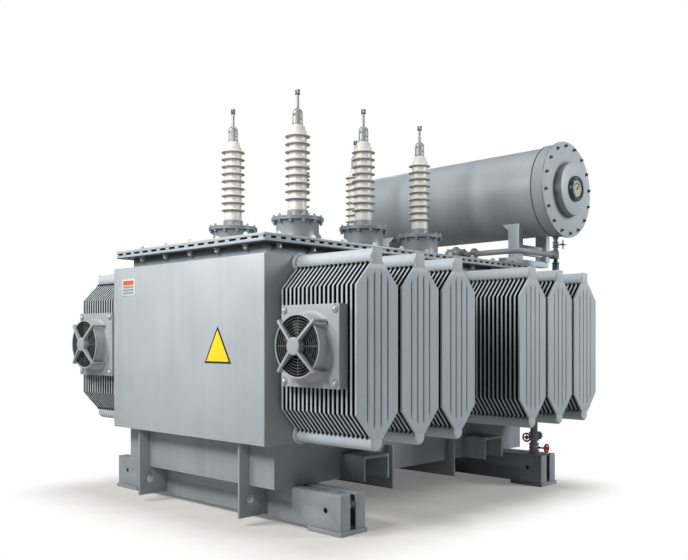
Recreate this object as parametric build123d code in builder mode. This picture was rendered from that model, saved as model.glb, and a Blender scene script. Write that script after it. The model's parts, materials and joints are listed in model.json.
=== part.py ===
from build123d import *
import os
from math import cos, radians, sin

os.makedirs("parts", exist_ok=True)

# Power transformer, oil filled, with radiators, fans, six bushings and a conservator.
# X runs along the tank, Y across it, Z up. The ground is Z = 0, the box centre is X = Y = 0.
# The near side is -Y, the front end is -X, and the conservator stands over the rear end.

# Named clearances
seat_gap = 0.3
overrun = 5.0

# Base: twin-beam skids across the tank, sole plates, underbase
sole_thickness = 40.0
sole_length = 420.0
sole_lip = 14.0
skid_height = 320.0
skid_width = 316.0
skid_overhang = 552.5
skid_end_inset = 550.0
skid_slot = 70.0
skid_web = 14.0
skid_flange = 22.0
skid_end_plate = 16.0
hauling_hole = 50.0
hauling_hole_inset = 190.0
hauling_hole_rise = 165.0
batten_length = 110.0
batten_thickness = 16.0
batten_inset = 230.0
batten_pitch = 520.0
battens_per_half = 2
underbase_height = 410.0
underbase_end_inset = 170.0
underbase_side_inset = 60.0

# Hauling plates at both ends, with an eye each
hauling_plate_thickness = 24.0
hauling_plate_offset_share = 0.665
hauling_plate_front_inset = 51.0
hauling_plate_ground_gap = 69.0
hauling_eye = 76.0
hauling_eye_rise = 162.0
hauling_eye_inset = 128.0

# Cross plates under the underbase and jacking brackets beside it
cross_plate_thickness = 26.0
cross_plate_offset_share = 0.237
cross_plate_reach = 100.0
cross_plate_drop = 175.0
cross_plate_rise = 270.0
jacking_inner_share = 0.371
jacking_width = 365.0
jacking_reach = 300.0
jacking_height = 241.0
jacking_plate = 24.0
jacking_top_plate = 30.0

# Tank, rim, gasket and cover
tank_length = 4450.0
tank_width = 2485.0
tank_height = 1700.0
tank_corner = 14.0
neck_inset = 150.0
neck_height = 110.0
rim_inset = 20.0
rim_thickness = 34.0
gasket_thickness = 14.0
gasket_inset = 34.0
cover_thickness = 30.0
cover_corner = 10.0

# Radiators: pressed panels between two collector pipes
radiators_per_group = 3
radiator_width = 520.0
radiator_pitch = 572.0
radiator_end_inset = 421.0
fin_count = 18
fin_pitch = 52.0
fin_thickness = 18.0
fin_first_gap = 50.0
fin_flat_width = 170.0
groove_count = 4
groove_pitch = 85.0
groove_width = 18.0
groove_depth = 5.0
groove_end_inset = 90.0
fin_lower_flat_rise = 130.0
fin_lower_shoulder_rise = 324.0
fin_upper_shoulder_drop = 312.0
fin_upper_flat_drop = 128.0
collector_diameter = 150.0
collector_lower_rise = 80.0
collector_upper_drop = 64.0
collector_seat_height = 26.0
collector_end = 22.0

# Fans on the end radiators
fan_box_size = 700.0
fan_box_depth = 95.0
fan_centre_rise = 29.0
fan_shift = 2.0
shroud_bore = 510.0
shroud_wall = 12.0
shroud_length = 146.0
shroud_flare = 40.0
strut_width = 26.0
strut_thickness = 22.0
strut_bulge = 28.0
strut_ring_gap = 17.0
straps_per_fan = 4
motor_diameter = 176.0
motor_length = 84.0
shaft_diameter = 36.0
shaft_length = 78.0
shaft_clearance = 0.3
rotor_hub_diameter = 150.0
rotor_hub_length = 62.0
rotor_gap = 12.0
rotor_tip_clearance = 14.0
blade_count = 7
blade_thickness = 7.0
blade_root_chord = 96.0
blade_tip_chord = 142.0
blade_root_angle = 44.0
blade_tip_angle = 26.0
blade_root_sink = 6.0

# Bushings: turret, flange, metal foot, porcelain, terminal
bushing_pitch_share = 0.226
bushing_shift = 150.0
bushing_row_offset_share = 0.424
turret_diameter = 440.0
turret_height = 262.0
turret_flange_diameter = 540.0
turret_flange_thickness = 20.0
turret_foot_diameter = 480.0
turret_foot_thickness = 16.0
bushing_plate_thickness = 16.0
foot_diameter = 216.0
foot_lip_diameter = 250.0
foot_lip_height = 18.0
foot_height = 78.0
core_diameter = 189.0
neck_to_first_shed = 116.0
shed_count = 9
shed_pitch = 81.0
shed_diameter = 262.0
shed_rim = 9.0
shed_slope = 24.0
shed_undercut = 8.0
cap_shoulder = 28.0
cap_height = 64.0
cap_diameter = 118.0
fitting_diameter = 92.0
fitting_height = 170.0
fitting_collar_diameter = 112.0
fitting_collar_height = 20.0
stem_diameter = 34.0
stem_length = 141.0
stud_diameter = 14.0
stud_reach = 24.0
stud_rise_share = 0.62
clamp_width = 44.0
clamp_thickness = 30.0
clamp_height = 56.0

# Conservator, its ends and its supports
conservator_overhang = 223.0
conservator_rise = 928.0
shell_radius = 556.0
shell_wall = 8.0
shell_near_overhang = 171.5
shell_far_overhang = 237.5
collar_radius = 578.0
collar_length = 193.0
end_flange_radius = 597.0
end_flange_thickness = 18.0
end_cover_thickness = 18.0
boss_radius = 331.0
boss_height = 97.0
boss_corner = 16.0
gauge_radius = 157.0
gauge_height = 46.0
gauge_rim = 14.0
gauge_window_depth = 12.0
dish_height = 120.0
dish_skirt = 24.0
post_side_inset = 165.5
post_width = 162.0
post_flange = 16.0
post_depth = 94.0
front_post_inset = 104.0
rear_post_overhang = 563.0
post_head_sink = 396.0
knee_width = 110.0
knee_height = 90.0
foot_beam_height = 70.0
foot_beam_width = 120.0
foot_beam_tail = 300.0
brace_height = 130.0
brace_width = 60.0
brace_rise = 64.0
saddle_gap = 0.3

# Pipework over the cover
relay_end_inset = 627.0
relay_side_inset = 424.5
relay_length = 578.0
relay_pipe_diameter = 68.0
relay_flange_diameter = 150.0
relay_flange_thickness = 18.0
relay_body_width = 170.0
relay_body_length = 200.0
relay_body_height = 150.0
relay_cap_diameter = 96.0
relay_cap_height = 34.0
relay_riser_diameter = 90.0
pipe_run_overhang = 216.5
pipe_bend_radius = 170.0
pipe_run_rise = 117.0
drop_pipe_diameter = 50.0
valve_height_share = 0.56
valve_body_diameter = 84.0
valve_body_height = 70.0
valve_stem_diameter = 18.0
valve_stem_length = 62.0
cross_handle_span = 120.0
cross_handle_bar = 16.0
tee_diameter = 84.0
tee_height = 96.0
tee_reach = 86.0
tee_flange_diameter = 110.0
tee_flange_thickness = 14.0
breather_neck = 44.0
breather_neck_length = 40.0
breather_diameter = 84.0
breather_height = 190.0
breather_flare = 108.0
breather_flare_height = 50.0

# Drain valve beside the rear skid
drain_end_inset = 665.0
drain_reach = 431.0
drain_rise = 69.0
drain_pipe_diameter = 84.0
drain_bend_radius = 110.0
drain_valve_diameter = 120.0
drain_valve_height = 91.0
drain_flange_diameter = 140.0
drain_flange_thickness = 20.0
upper_wheel_rise = 215.0
lower_wheel_rise = 86.0
wheel_diameter = 110.0
wheel_rim = 14.0
wheel_hub_diameter = 34.0
wheel_hub_length = 24.0
wheel_spoke = 10.0
wheel_stem_diameter = 20.0
wheel_reach = 104.0

# Levels that follow from the sizes above
skid_bottom = sole_thickness
skid_top = skid_bottom + skid_height
tank_bottom = skid_top + underbase_height
tank_top = tank_bottom + tank_height
rim_bottom = tank_top + neck_height
gasket_bottom = rim_bottom + rim_thickness
cover_bottom = gasket_bottom + gasket_thickness
cover_top = cover_bottom + cover_thickness
side_wall = tank_width / 2
end_wall = tank_length / 2
fin_lower_flat = tank_bottom + fin_lower_flat_rise
fin_lower_shoulder = tank_bottom + fin_lower_shoulder_rise
fin_upper_shoulder = tank_top - fin_upper_shoulder_drop
fin_upper_flat = tank_top - fin_upper_flat_drop
collector_lower = tank_bottom + collector_lower_rise
collector_upper = tank_top - collector_upper_drop
fan_centre_height = (fin_lower_shoulder + fin_upper_shoulder) / 2 + fan_centre_rise
conservator_height = cover_top + conservator_rise
post_top = conservator_height - post_head_sink
pipe_run_height = cover_top + pipe_run_rise
drop_top = conservator_height - collar_radius - seat_gap
valve_height = pipe_run_height + (drop_top - pipe_run_height) * valve_height_share
drain_height = tank_bottom + drain_rise
upper_wheel_height = skid_top + upper_wheel_rise
lower_wheel_height = skid_top + lower_wheel_rise

# Places along the tank, counted from its middle
skid_offset = end_wall - skid_end_inset
cross_plate_offset = end_wall * cross_plate_offset_share
jacking_inner = end_wall * jacking_inner_share
radiator_outer_offset = end_wall - radiator_end_inset
radiator_inner_offset = radiator_outer_offset - (radiators_per_group - 1) * radiator_pitch
bushing_pitch = tank_length * bushing_pitch_share
conservator_offset = end_wall + conservator_overhang
front_post_offset = end_wall - front_post_inset
rear_post_offset = end_wall + rear_post_overhang
relay_offset = end_wall - relay_end_inset
drain_offset = end_wall - drain_end_inset

# Places across the tank, counted from its middle
skid_length = tank_width + 2 * skid_overhang
hauling_plate_offset = side_wall * hauling_plate_offset_share
bushing_row_offset = side_wall * bushing_row_offset_share
shell_near_end = side_wall + shell_near_overhang
shell_far_end = side_wall + shell_far_overhang
post_offset = side_wall - post_side_inset
relay_near_end = side_wall - relay_side_inset
relay_far_end = relay_near_end - relay_length
pipe_run_offset = side_wall + pipe_run_overhang

# The box centre along X lies between the fan hubs in front and the conservator flange behind
fan_plate_offset = radiator_outer_offset + radiator_width / 2 + seat_gap
fan_face_offset = fan_plate_offset + fan_box_depth
hub_face_offset = fan_face_offset + shroud_length + strut_bulge + strut_thickness
rear_reach = conservator_offset + end_flange_radius
tank_x = (hub_face_offset - rear_reach) / 2

fin_inner = side_wall + fin_first_gap
fin_outer = fin_inner + (fin_count - 1) * fin_pitch + fin_thickness
fan_centre_reach = (fin_inner + fin_outer) / 2 - side_wall - fan_shift


def keep(piece, name):
    """Label a finished piece and write it under its own name."""
    piece.part.label = name
    export_step(piece.part, f"parts/{name}.step")


# Sole plates under the four skid ends
with BuildPart() as sole_plates:
    sole_y = skid_length / 2 + sole_lip - sole_length / 2
    with Locations(
        *[(tank_x + sx * skid_offset, sy * sole_y, 0) for sx in (-1, 1) for sy in (-1, 1)]
    ):
        Box(
            skid_width + 2 * sole_lip,
            sole_length,
            sole_thickness,
            align=(Align.CENTER, Align.CENTER, Align.MIN),
        )
keep(sole_plates, "sole_plates")


def skid_beams(centre_x):
    """Two channels with their webs outside and a slot between them, closed by end plates."""
    beam_width = (skid_width - skid_slot) / 2
    hole_y = skid_length / 2 - hauling_hole_inset
    with BuildPart() as beams:
        for side in (-1, 1):
            web_x = centre_x + side * (skid_width - skid_web) / 2
            beam_x = centre_x + side * (skid_slot + beam_width) / 2
            with Locations((web_x, 0, skid_bottom)):
                Box(skid_web, skid_length, skid_height, align=(Align.CENTER, Align.CENTER, Align.MIN))
            with Locations((beam_x, 0, skid_bottom), (beam_x, 0, skid_top - skid_flange)):
                Box(beam_width, skid_length, skid_flange, align=(Align.CENTER, Align.CENTER, Align.MIN))
            with Locations(
                *[(beam_x, sy * (skid_length - skid_end_plate) / 2, skid_bottom) for sy in (-1, 1)]
            ):
                Box(
                    beam_width,
                    skid_end_plate,
                    skid_height,
                    align=(Align.CENTER, Align.CENTER, Align.MIN),
                )
        with Locations(*[(centre_x, sy * hole_y, skid_bottom + hauling_hole_rise) for sy in (-1, 1)]):
            Cylinder(
                hauling_hole / 2,
                skid_width + 2 * overrun,
                rotation=(0, 90, 0),
                mode=Mode.SUBTRACT,
            )
    return beams


keep(skid_beams(tank_x - skid_offset), "skid_front")
keep(skid_beams(tank_x + skid_offset), "skid_rear")

# Batten plates that tie the two beams of a skid, let into the slot near each end
with BuildPart() as skid_battens:
    batten_places = [skid_length / 2 - batten_inset - n * batten_pitch for n in range(battens_per_half)]
    with Locations(
        *[
            (tank_x + sx * skid_offset, sy * y, skid_top - batten_thickness)
            for sx in (-1, 1)
            for sy in (-1, 1)
            for y in batten_places
        ]
    ):
        Box(skid_slot, batten_length, batten_thickness, align=(Align.CENTER, Align.CENTER, Align.MIN))
keep(skid_battens, "skid_battens")

# Underbase, a closed box between the skids and the tank
underbase_length = tank_length - 2 * underbase_end_inset
underbase_width = tank_width - 2 * underbase_side_inset
with BuildPart() as underbase:
    with Locations((tank_x, 0, skid_top)):
        Box(
            underbase_length,
            underbase_width,
            underbase_height,
            align=(Align.CENTER, Align.CENTER, Align.MIN),
        )
keep(underbase, "underbase")

# Hauling plates stand upright at both ends, from the tank floor down past the skid
with BuildPart() as hauling_plates:
    plate_front = end_wall - hauling_plate_front_inset
    plate_upper_back = end_wall - underbase_end_inset
    plate_lower_back = skid_offset + skid_width / 2
    for sx in (-1, 1):
        for sy in (-1, 1):
            plate_y = sy * hauling_plate_offset + hauling_plate_thickness / 2
            with BuildSketch(Plane.XZ.offset(-plate_y)):
                with BuildLine():
                    Polyline(
                        (tank_x + sx * plate_front, hauling_plate_ground_gap),
                        (tank_x + sx * plate_front, tank_bottom),
                        (tank_x + sx * plate_upper_back, tank_bottom),
                        (tank_x + sx * plate_upper_back, skid_top),
                        (tank_x + sx * plate_lower_back, skid_top),
                        (tank_x + sx * plate_lower_back, hauling_plate_ground_gap),
                        close=True,
                    )
                make_face()
                with Locations(
                    (
                        tank_x + sx * (plate_front - hauling_eye_inset),
                        hauling_plate_ground_gap + hauling_eye_rise,
                    )
                ):
                    Circle(hauling_eye / 2, mode=Mode.SUBTRACT)
            extrude(amount=hauling_plate_thickness)
keep(hauling_plates, "hauling_plates")

# Cross plates hug the underbase from below, with ears beside it
with BuildPart() as cross_plates:
    ear = underbase_width / 2 + cross_plate_reach
    for sx in (-1, 1):
        plane_x = tank_x + sx * cross_plate_offset - cross_plate_thickness / 2
        with BuildSketch(Plane.YZ.offset(plane_x)):
            with BuildLine():
                Polyline(
                    (-ear, skid_top - cross_plate_drop),
                    (ear, skid_top - cross_plate_drop),
                    (ear, skid_top + cross_plate_rise),
                    (underbase_width / 2, skid_top + cross_plate_rise),
                    (underbase_width / 2, skid_top),
                    (-underbase_width / 2, skid_top),
                    (-underbase_width / 2, skid_top + cross_plate_rise),
                    (-ear, skid_top + cross_plate_rise),
                    close=True,
                )
            make_face()
        extrude(amount=cross_plate_thickness)
keep(cross_plates, "cross_plates")

# Jacking brackets: two cheeks and a head plate on the underbase wall
with BuildPart() as jacking_brackets:
    for sx in (-1, 1):
        for sy in (-1, 1):
            bracket_x = tank_x + sx * (jacking_inner + jacking_width / 2)
            bracket_y = sy * (underbase_width + jacking_reach) / 2
            cheek_x = (jacking_width - jacking_plate) / 2
            with Locations(
                (bracket_x - cheek_x, bracket_y, skid_top),
                (bracket_x + cheek_x, bracket_y, skid_top),
            ):
                Box(
                    jacking_plate,
                    jacking_reach,
                    jacking_height,
                    align=(Align.CENTER, Align.CENTER, Align.MIN),
                )
            with Locations((bracket_x, bracket_y, skid_top + jacking_height - jacking_top_plate)):
                Box(
                    jacking_width,
                    jacking_reach,
                    jacking_top_plate,
                    align=(Align.CENTER, Align.CENTER, Align.MIN),
                )
keep(jacking_brackets, "jacking_brackets")

# Tank with plain walls and the narrower neck that carries the rim
with BuildPart() as tank:
    with Locations((tank_x, 0, tank_bottom)):
        Box(tank_length, tank_width, tank_height, align=(Align.CENTER, Align.CENTER, Align.MIN))
    fillet(tank.edges().filter_by(Axis.Z), radius=tank_corner)
    with Locations((tank_x, 0, tank_top)):
        Box(
            tank_length - 2 * neck_inset,
            tank_width - 2 * neck_inset,
            neck_height,
            align=(Align.CENTER, Align.CENTER, Align.MIN),
        )
keep(tank, "tank")

# Rim, gasket and cover
rim_length = tank_length - 2 * rim_inset
rim_width = tank_width - 2 * rim_inset
with BuildPart() as tank_rim:
    with Locations((tank_x, 0, rim_bottom)):
        Box(rim_length, rim_width, rim_thickness, align=(Align.CENTER, Align.CENTER, Align.MIN))
    fillet(tank_rim.edges().filter_by(Axis.Z), radius=cover_corner)
keep(tank_rim, "tank_rim")

with BuildPart() as tank_gasket:
    with Locations((tank_x, 0, gasket_bottom)):
        Box(
            rim_length - 2 * gasket_inset,
            rim_width - 2 * gasket_inset,
            gasket_thickness,
            align=(Align.CENTER, Align.CENTER, Align.MIN),
        )
keep(tank_gasket, "tank_gasket")

with BuildPart() as tank_cover:
    with Locations((tank_x, 0, cover_bottom)):
        Box(rim_length, rim_width, cover_thickness, align=(Align.CENTER, Align.CENTER, Align.MIN))
    fillet(tank_cover.edges().filter_by(Axis.Z), radius=cover_corner)
keep(tank_cover, "tank_cover")


def radiator(centre_x, side):
    """Pressed panels side by side between two collector pipes, the outermost with grooves."""
    half = radiator_width / 2
    flat = fin_flat_width / 2
    stack_centre = side * (fin_inner + fin_outer) / 2
    stack_length = fin_outer - fin_inner
    pipe_length = fin_outer + collector_end - side_wall
    pipe_centre = side * (side_wall + pipe_length / 2)
    with BuildPart() as block:
        for height, up in ((collector_lower, 1), (collector_upper, -1)):
            seat = fin_lower_flat if up > 0 else fin_upper_flat
            with Locations((centre_x, pipe_centre, height)):
                Cylinder(collector_diameter / 2, pipe_length, rotation=(90, 0, 0))
            with Locations((centre_x, stack_centre, seat + up * collector_diameter / 2)):
                Box(radiator_width, stack_length, collector_diameter, mode=Mode.SUBTRACT)
            with Locations((centre_x, stack_centre, seat - up * collector_seat_height / 2)):
                Box(fin_flat_width, stack_length, collector_seat_height)
        for n in range(fin_count):
            inner_face = fin_inner + n * fin_pitch
            start = inner_face if side > 0 else -inner_face - fin_thickness
            with BuildSketch(Plane.XZ.offset(-start - fin_thickness)):
                with BuildLine():
                    Polyline(
                        (centre_x - flat, fin_lower_flat),
                        (centre_x + flat, fin_lower_flat),
                        (centre_x + half, fin_lower_shoulder),
                        (centre_x + half, fin_upper_shoulder),
                        (centre_x + flat, fin_upper_flat),
                        (centre_x - flat, fin_upper_flat),
                        (centre_x - half, fin_upper_shoulder),
                        (centre_x - half, fin_lower_shoulder),
                        close=True,
                    )
                make_face()
            extrude(amount=fin_thickness)
        for n in range(groove_count):
            groove_x = (n - (groove_count - 1) / 2) * groove_pitch
            bevel_share = max(0, abs(groove_x) - flat) / (half - flat)
            lowest = fin_lower_flat + bevel_share * (fin_lower_shoulder - fin_lower_flat)
            highest = fin_upper_flat - bevel_share * (fin_upper_flat - fin_upper_shoulder)
            groove_y = side * (fin_outer - groove_depth / 2)
            with Locations((centre_x + groove_x, groove_y, (lowest + highest) / 2)):
                Box(groove_width, groove_depth, highest - lowest - 2 * groove_end_inset, mode=Mode.SUBTRACT)
    return block


radiator_offsets = [radiator_inner_offset + n * radiator_pitch for n in range(radiators_per_group)]
radiator_places = sorted([-x for x in radiator_offsets] + radiator_offsets)
for side, side_name in ((-1, "near"), (1, "far")):
    for number, place in enumerate(radiator_places, start=1):
        keep(radiator(tank_x + place, side), f"radiator_{side_name}_{number}")


def fan_frame(end, side):
    """The plane of one fan's mounting face: its normal points out along X, away from the tank."""
    return Plane(
        origin=(tank_x + end * fan_plate_offset, side * (side_wall + fan_centre_reach), fan_centre_height),
        x_dir=(0, end, 0),
        z_dir=(end, 0, 0),
    )


def turned_about_normal(plane, angle):
    """The same plane with its x direction turned by an angle in degrees."""
    lie = plane.x_dir * cos(radians(angle)) + plane.y_dir * sin(radians(angle))
    return Plane(origin=plane.origin, x_dir=lie, z_dir=plane.z_dir)


def fan_box(frame):
    """Square mounting box with a flared ring that guides the air."""
    outer = shroud_bore / 2 + shroud_wall
    with BuildPart() as box:
        with BuildSketch(frame):
            Rectangle(fan_box_size, fan_box_size)
        extrude(amount=fan_box_depth)
        with BuildSketch(frame.offset(fan_box_depth)):
            Circle(outer + shroud_flare)
        with BuildSketch(frame.offset(fan_box_depth + shroud_flare)):
            Circle(outer)
        loft(ruled=True)
        with BuildSketch(frame.offset(fan_box_depth)):
            Circle(outer)
        extrude(amount=shroud_length)
        with BuildSketch(frame):
            Circle(shroud_bore / 2)
        extrude(amount=fan_box_depth + shroud_length + overrun, mode=Mode.SUBTRACT)
    return box


def fan_guard(frame):
    """Motor on four bent straps that reach over the ring and stand on its flare."""
    mouth = fan_box_depth + shroud_length
    outer = shroud_bore / 2 + shroud_wall
    strap_start = outer + strut_ring_gap
    strap_foot = fan_box_depth + shroud_flare - strut_ring_gap + seat_gap
    cap_height = mouth + strut_bulge + strut_thickness
    with BuildPart() as guard:
        with BuildSketch(frame.offset(cap_height - motor_length)):
            Circle(motor_diameter / 2)
        extrude(amount=motor_length)
        with BuildSketch(frame.offset(cap_height - motor_length - shaft_length)):
            Circle(shaft_diameter / 2)
        extrude(amount=shaft_length)
        for n in range(straps_per_fan):
            strap_plane = turned_about_normal(frame, (n + 1 / 2) * 360 / straps_per_fan)
            edge_plane = Plane(
                origin=strap_plane.origin + strap_plane.y_dir * strut_width / 2,
                x_dir=strap_plane.x_dir,
                z_dir=-strap_plane.y_dir,
            )
            with BuildSketch(edge_plane):
                with BuildLine():
                    Polyline(
                        (motor_diameter / 4, mouth + strut_bulge),
                        (strap_start, mouth + seat_gap),
                        (strap_start, strap_foot),
                        (strap_start + strut_thickness, strap_foot),
                        (strap_start + strut_thickness, mouth + strut_thickness),
                        (motor_diameter / 4, mouth + strut_bulge + strut_thickness),
                        close=True,
                    )
                make_face()
            extrude(amount=strut_width)
    return guard


def fan_rotor(frame):
    """Hub with twisted blades, bored to run on the motor shaft."""
    mouth = fan_box_depth + shroud_length
    hub_top = mouth + strut_bulge + strut_thickness - motor_length - rotor_gap
    hub_bottom = hub_top - rotor_hub_length
    blade_height = (hub_top + hub_bottom) / 2
    root_radius = rotor_hub_diameter / 2 - blade_root_sink
    tip_radius = shroud_bore / 2 - rotor_tip_clearance
    sections = (
        (root_radius, blade_root_chord, blade_root_angle),
        (tip_radius, blade_tip_chord, blade_tip_angle),
    )
    with BuildPart() as rotor:
        with BuildSketch(frame.offset(hub_bottom)):
            Circle(rotor_hub_diameter / 2)
        extrude(amount=rotor_hub_length)
        for n in range(blade_count):
            spoke = turned_about_normal(frame.offset(blade_height), n * 360 / blade_count)
            for radius, chord, angle in sections:
                lie = spoke.y_dir * cos(radians(angle)) + spoke.z_dir * sin(radians(angle))
                cut = Plane(origin=spoke.origin + spoke.x_dir * radius, x_dir=lie, z_dir=spoke.x_dir)
                with BuildSketch(cut):
                    Rectangle(chord, blade_thickness)
            loft(ruled=True)
        with BuildSketch(frame.offset(hub_bottom)):
            Circle(shaft_diameter / 2 + shaft_clearance)
        extrude(amount=rotor_hub_length, mode=Mode.SUBTRACT)
    return rotor


fan_places = {"front_near": (-1, -1), "front_far": (-1, 1), "rear_near": (1, -1), "rear_far": (1, 1)}
fan_frames = {name: fan_frame(*place) for name, place in fan_places.items()}

with BuildPart() as fan_boxes:
    for frame in fan_frames.values():
        add(fan_box(frame).part)
keep(fan_boxes, "fan_boxes")

with BuildPart() as fan_guards:
    for frame in fan_frames.values():
        add(fan_guard(frame).part)
keep(fan_guards, "fan_guards")

for name, frame in fan_frames.items():
    keep(fan_rotor(frame), f"fan_rotor_{name}")

# Bushings stand in two rows of three on the cover
bushing_columns = [tank_x - bushing_shift + n * bushing_pitch for n in (-1, 0, 1)]
bushing_places = {
    "near": [(x, -bushing_row_offset) for x in bushing_columns],
    "far": [(x, bushing_row_offset) for x in bushing_columns],
}
all_bushings = bushing_places["near"] + bushing_places["far"]
turret_top = cover_top + turret_height
plate_bottom = turret_top + turret_flange_thickness
foot_bottom = plate_bottom + bushing_plate_thickness
porcelain_bottom = foot_bottom + foot_height
first_shed = porcelain_bottom + neck_to_first_shed
last_shed = first_shed + (shed_count - 1) * shed_pitch
cap_bottom = last_shed + shed_slope + cap_shoulder
cap_top = cap_bottom + cap_height
fitting_top = cap_top + fitting_height

with BuildPart() as bushing_turrets:
    with Locations(*[(x, y, cover_top) for x, y in all_bushings]):
        Cylinder(
            turret_foot_diameter / 2,
            turret_foot_thickness,
            align=(Align.CENTER, Align.CENTER, Align.MIN),
        )
        Cylinder(turret_diameter / 2, turret_height, align=(Align.CENTER, Align.CENTER, Align.MIN))
    with Locations(*[(x, y, turret_top) for x, y in all_bushings]):
        Cylinder(
            turret_flange_diameter / 2,
            turret_flange_thickness,
            align=(Align.CENTER, Align.CENTER, Align.MIN),
        )
keep(bushing_turrets, "bushing_turrets")


def turned(places, profile):
    """Solids of revolution about upright axes, all with the same (radius, height) profile."""
    with BuildPart() as pieces:
        for x, y in places:
            with BuildSketch(Plane(origin=(x, y, 0), x_dir=(1, 0, 0), z_dir=(0, -1, 0))):
                with BuildLine():
                    Polyline(*profile, close=True)
                make_face()
            revolve(axis=Axis((x, y, 0), (0, 0, 1)))
    return pieces


# Cast foot of each bushing, bolted on the turret flange through its plate
foot_profile = [
    (0, plate_bottom),
    (turret_flange_diameter / 2, plate_bottom),
    (turret_flange_diameter / 2, foot_bottom),
    (foot_lip_diameter / 2, foot_bottom),
    (foot_lip_diameter / 2, foot_bottom + foot_lip_height),
    (foot_diameter / 2, foot_bottom + foot_lip_height),
    (foot_diameter / 2, porcelain_bottom),
    (0, porcelain_bottom),
]
keep(turned(all_bushings, foot_profile), "bushing_feet")

# Porcelain: a core with drooping sheds and a stepped shoulder
porcelain_profile = [(0, porcelain_bottom), (core_diameter / 2, porcelain_bottom)]
for n in range(shed_count):
    level = first_shed + n * shed_pitch
    porcelain_profile += [
        (core_diameter / 2, level),
        (shed_diameter / 2, level - shed_undercut),
        (shed_diameter / 2, level - shed_undercut + shed_rim),
        (core_diameter / 2, level + shed_slope),
    ]
porcelain_profile += [
    (core_diameter / 2, cap_bottom),
    (cap_diameter / 2, cap_top),
    (0, cap_top),
]
for row, places in bushing_places.items():
    keep(turned(places, porcelain_profile), f"bushing_porcelain_{row}")

# Terminals: fitting with a collar, stem and flat clamp
with BuildPart() as bushing_terminals:
    with Locations(*[(x, y, cap_top) for x, y in all_bushings]):
        Cylinder(
            fitting_collar_diameter / 2,
            fitting_collar_height,
            align=(Align.CENTER, Align.CENTER, Align.MIN),
        )
        Cylinder(
            fitting_diameter / 2,
            fitting_height,
            align=(Align.CENTER, Align.CENTER, Align.MIN),
        )
    with Locations(*[(x, y, cap_top + fitting_height * stud_rise_share) for x, y in all_bushings]):
        Cylinder(stud_diameter / 2, fitting_diameter + 2 * stud_reach, rotation=(0, 90, 0))
    with Locations(*[(x, y, fitting_top) for x, y in all_bushings]):
        Cylinder(stem_diameter / 2, stem_length, align=(Align.CENTER, Align.CENTER, Align.MIN))
    with Locations(*[(x, y, fitting_top + stem_length) for x, y in all_bushings]):
        Box(
            clamp_thickness,
            clamp_width,
            clamp_height,
            align=(Align.CENTER, Align.CENTER, Align.MIN),
        )
keep(bushing_terminals, "bushing_terminals")

conservator_x = tank_x + conservator_offset


def across(y):
    """A plane square to the conservator's axis, centred on it, with its normal along +Y."""
    return Plane(origin=(conservator_x, y, conservator_height), x_dir=(-1, 0, 0), z_dir=(0, 1, 0))


# Conservator shell, an open tube
with BuildPart() as conservator_shell:
    with BuildSketch(across(-shell_near_end)):
        Circle(shell_radius)
        Circle(shell_radius - shell_wall, mode=Mode.SUBTRACT)
    extrude(amount=shell_near_end + shell_far_end)
keep(conservator_shell, "conservator_shell")

# Collar with the end flange, on the near end of the shell
collar_end = shell_near_end + collar_length
with BuildPart() as conservator_collar:
    with BuildSketch(across(-collar_end)):
        Circle(collar_radius)
    extrude(amount=collar_length)
    with BuildSketch(across(-collar_end)):
        Circle(end_flange_radius)
    extrude(amount=end_flange_thickness)
    with BuildSketch(across(-collar_end)):
        Circle(shell_radius - shell_wall)
    extrude(amount=collar_length, mode=Mode.SUBTRACT)
keep(conservator_collar, "conservator_collar")

# Bolted end cover with the raised boss
cover_face = collar_end + end_cover_thickness
with BuildPart() as conservator_cover:
    with BuildSketch(across(-collar_end)):
        Circle(end_flange_radius)
    extrude(amount=-end_cover_thickness)
    with BuildSketch(across(-cover_face)):
        Circle(boss_radius)
    extrude(amount=-boss_height)
    boss_edge = conservator_cover.faces().sort_by(Axis.Y)[0].edges()
    fillet(boss_edge, radius=boss_corner)
keep(conservator_cover, "conservator_cover")

# Oil level gauge: a round case with a sunk dial
boss_face = cover_face + boss_height
with BuildPart() as level_gauge:
    with BuildSketch(across(-boss_face)):
        Circle(gauge_radius)
    extrude(amount=-gauge_height)
    with BuildSketch(across(-boss_face - gauge_height)):
        Circle(gauge_radius - gauge_rim)
    extrude(amount=gauge_window_depth, mode=Mode.SUBTRACT)
keep(level_gauge, "level_gauge")

# Dished head on the far end: a shallow cap of a sphere on a short skirt
dish_radius = (shell_radius**2 + dish_height**2) / (2 * dish_height)
with BuildPart() as conservator_head:
    with BuildSketch(Plane(origin=(conservator_x, 0, conservator_height), x_dir=(0, 1, 0), z_dir=(1, 0, 0))):
        with BuildLine():
            skirt_end = shell_far_end + dish_skirt
            Polyline(
                (skirt_end + dish_height, 0),
                (shell_far_end, 0),
                (shell_far_end, shell_radius),
                (skirt_end, shell_radius),
            )
            RadiusArc((skirt_end, shell_radius), (skirt_end + dish_height, 0), dish_radius)
        make_face()
    revolve(axis=Axis((conservator_x, 0, conservator_height), (0, 1, 0)))
keep(conservator_head, "conservator_head")

# Foot beams lie on the cover and reach past the tank to carry the rear posts
beam_front = front_post_offset - foot_beam_tail
beam_rear = rear_post_offset + post_depth / 2
with BuildPart() as conservator_beams:
    with Locations(
        *[(tank_x + (beam_front + beam_rear) / 2, sy * post_offset, cover_top) for sy in (-1, 1)]
    ):
        Box(
            beam_rear - beam_front,
            foot_beam_width,
            foot_beam_height,
            align=(Align.CENTER, Align.CENTER, Align.MIN),
        )
keep(conservator_beams, "conservator_beams")

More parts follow.
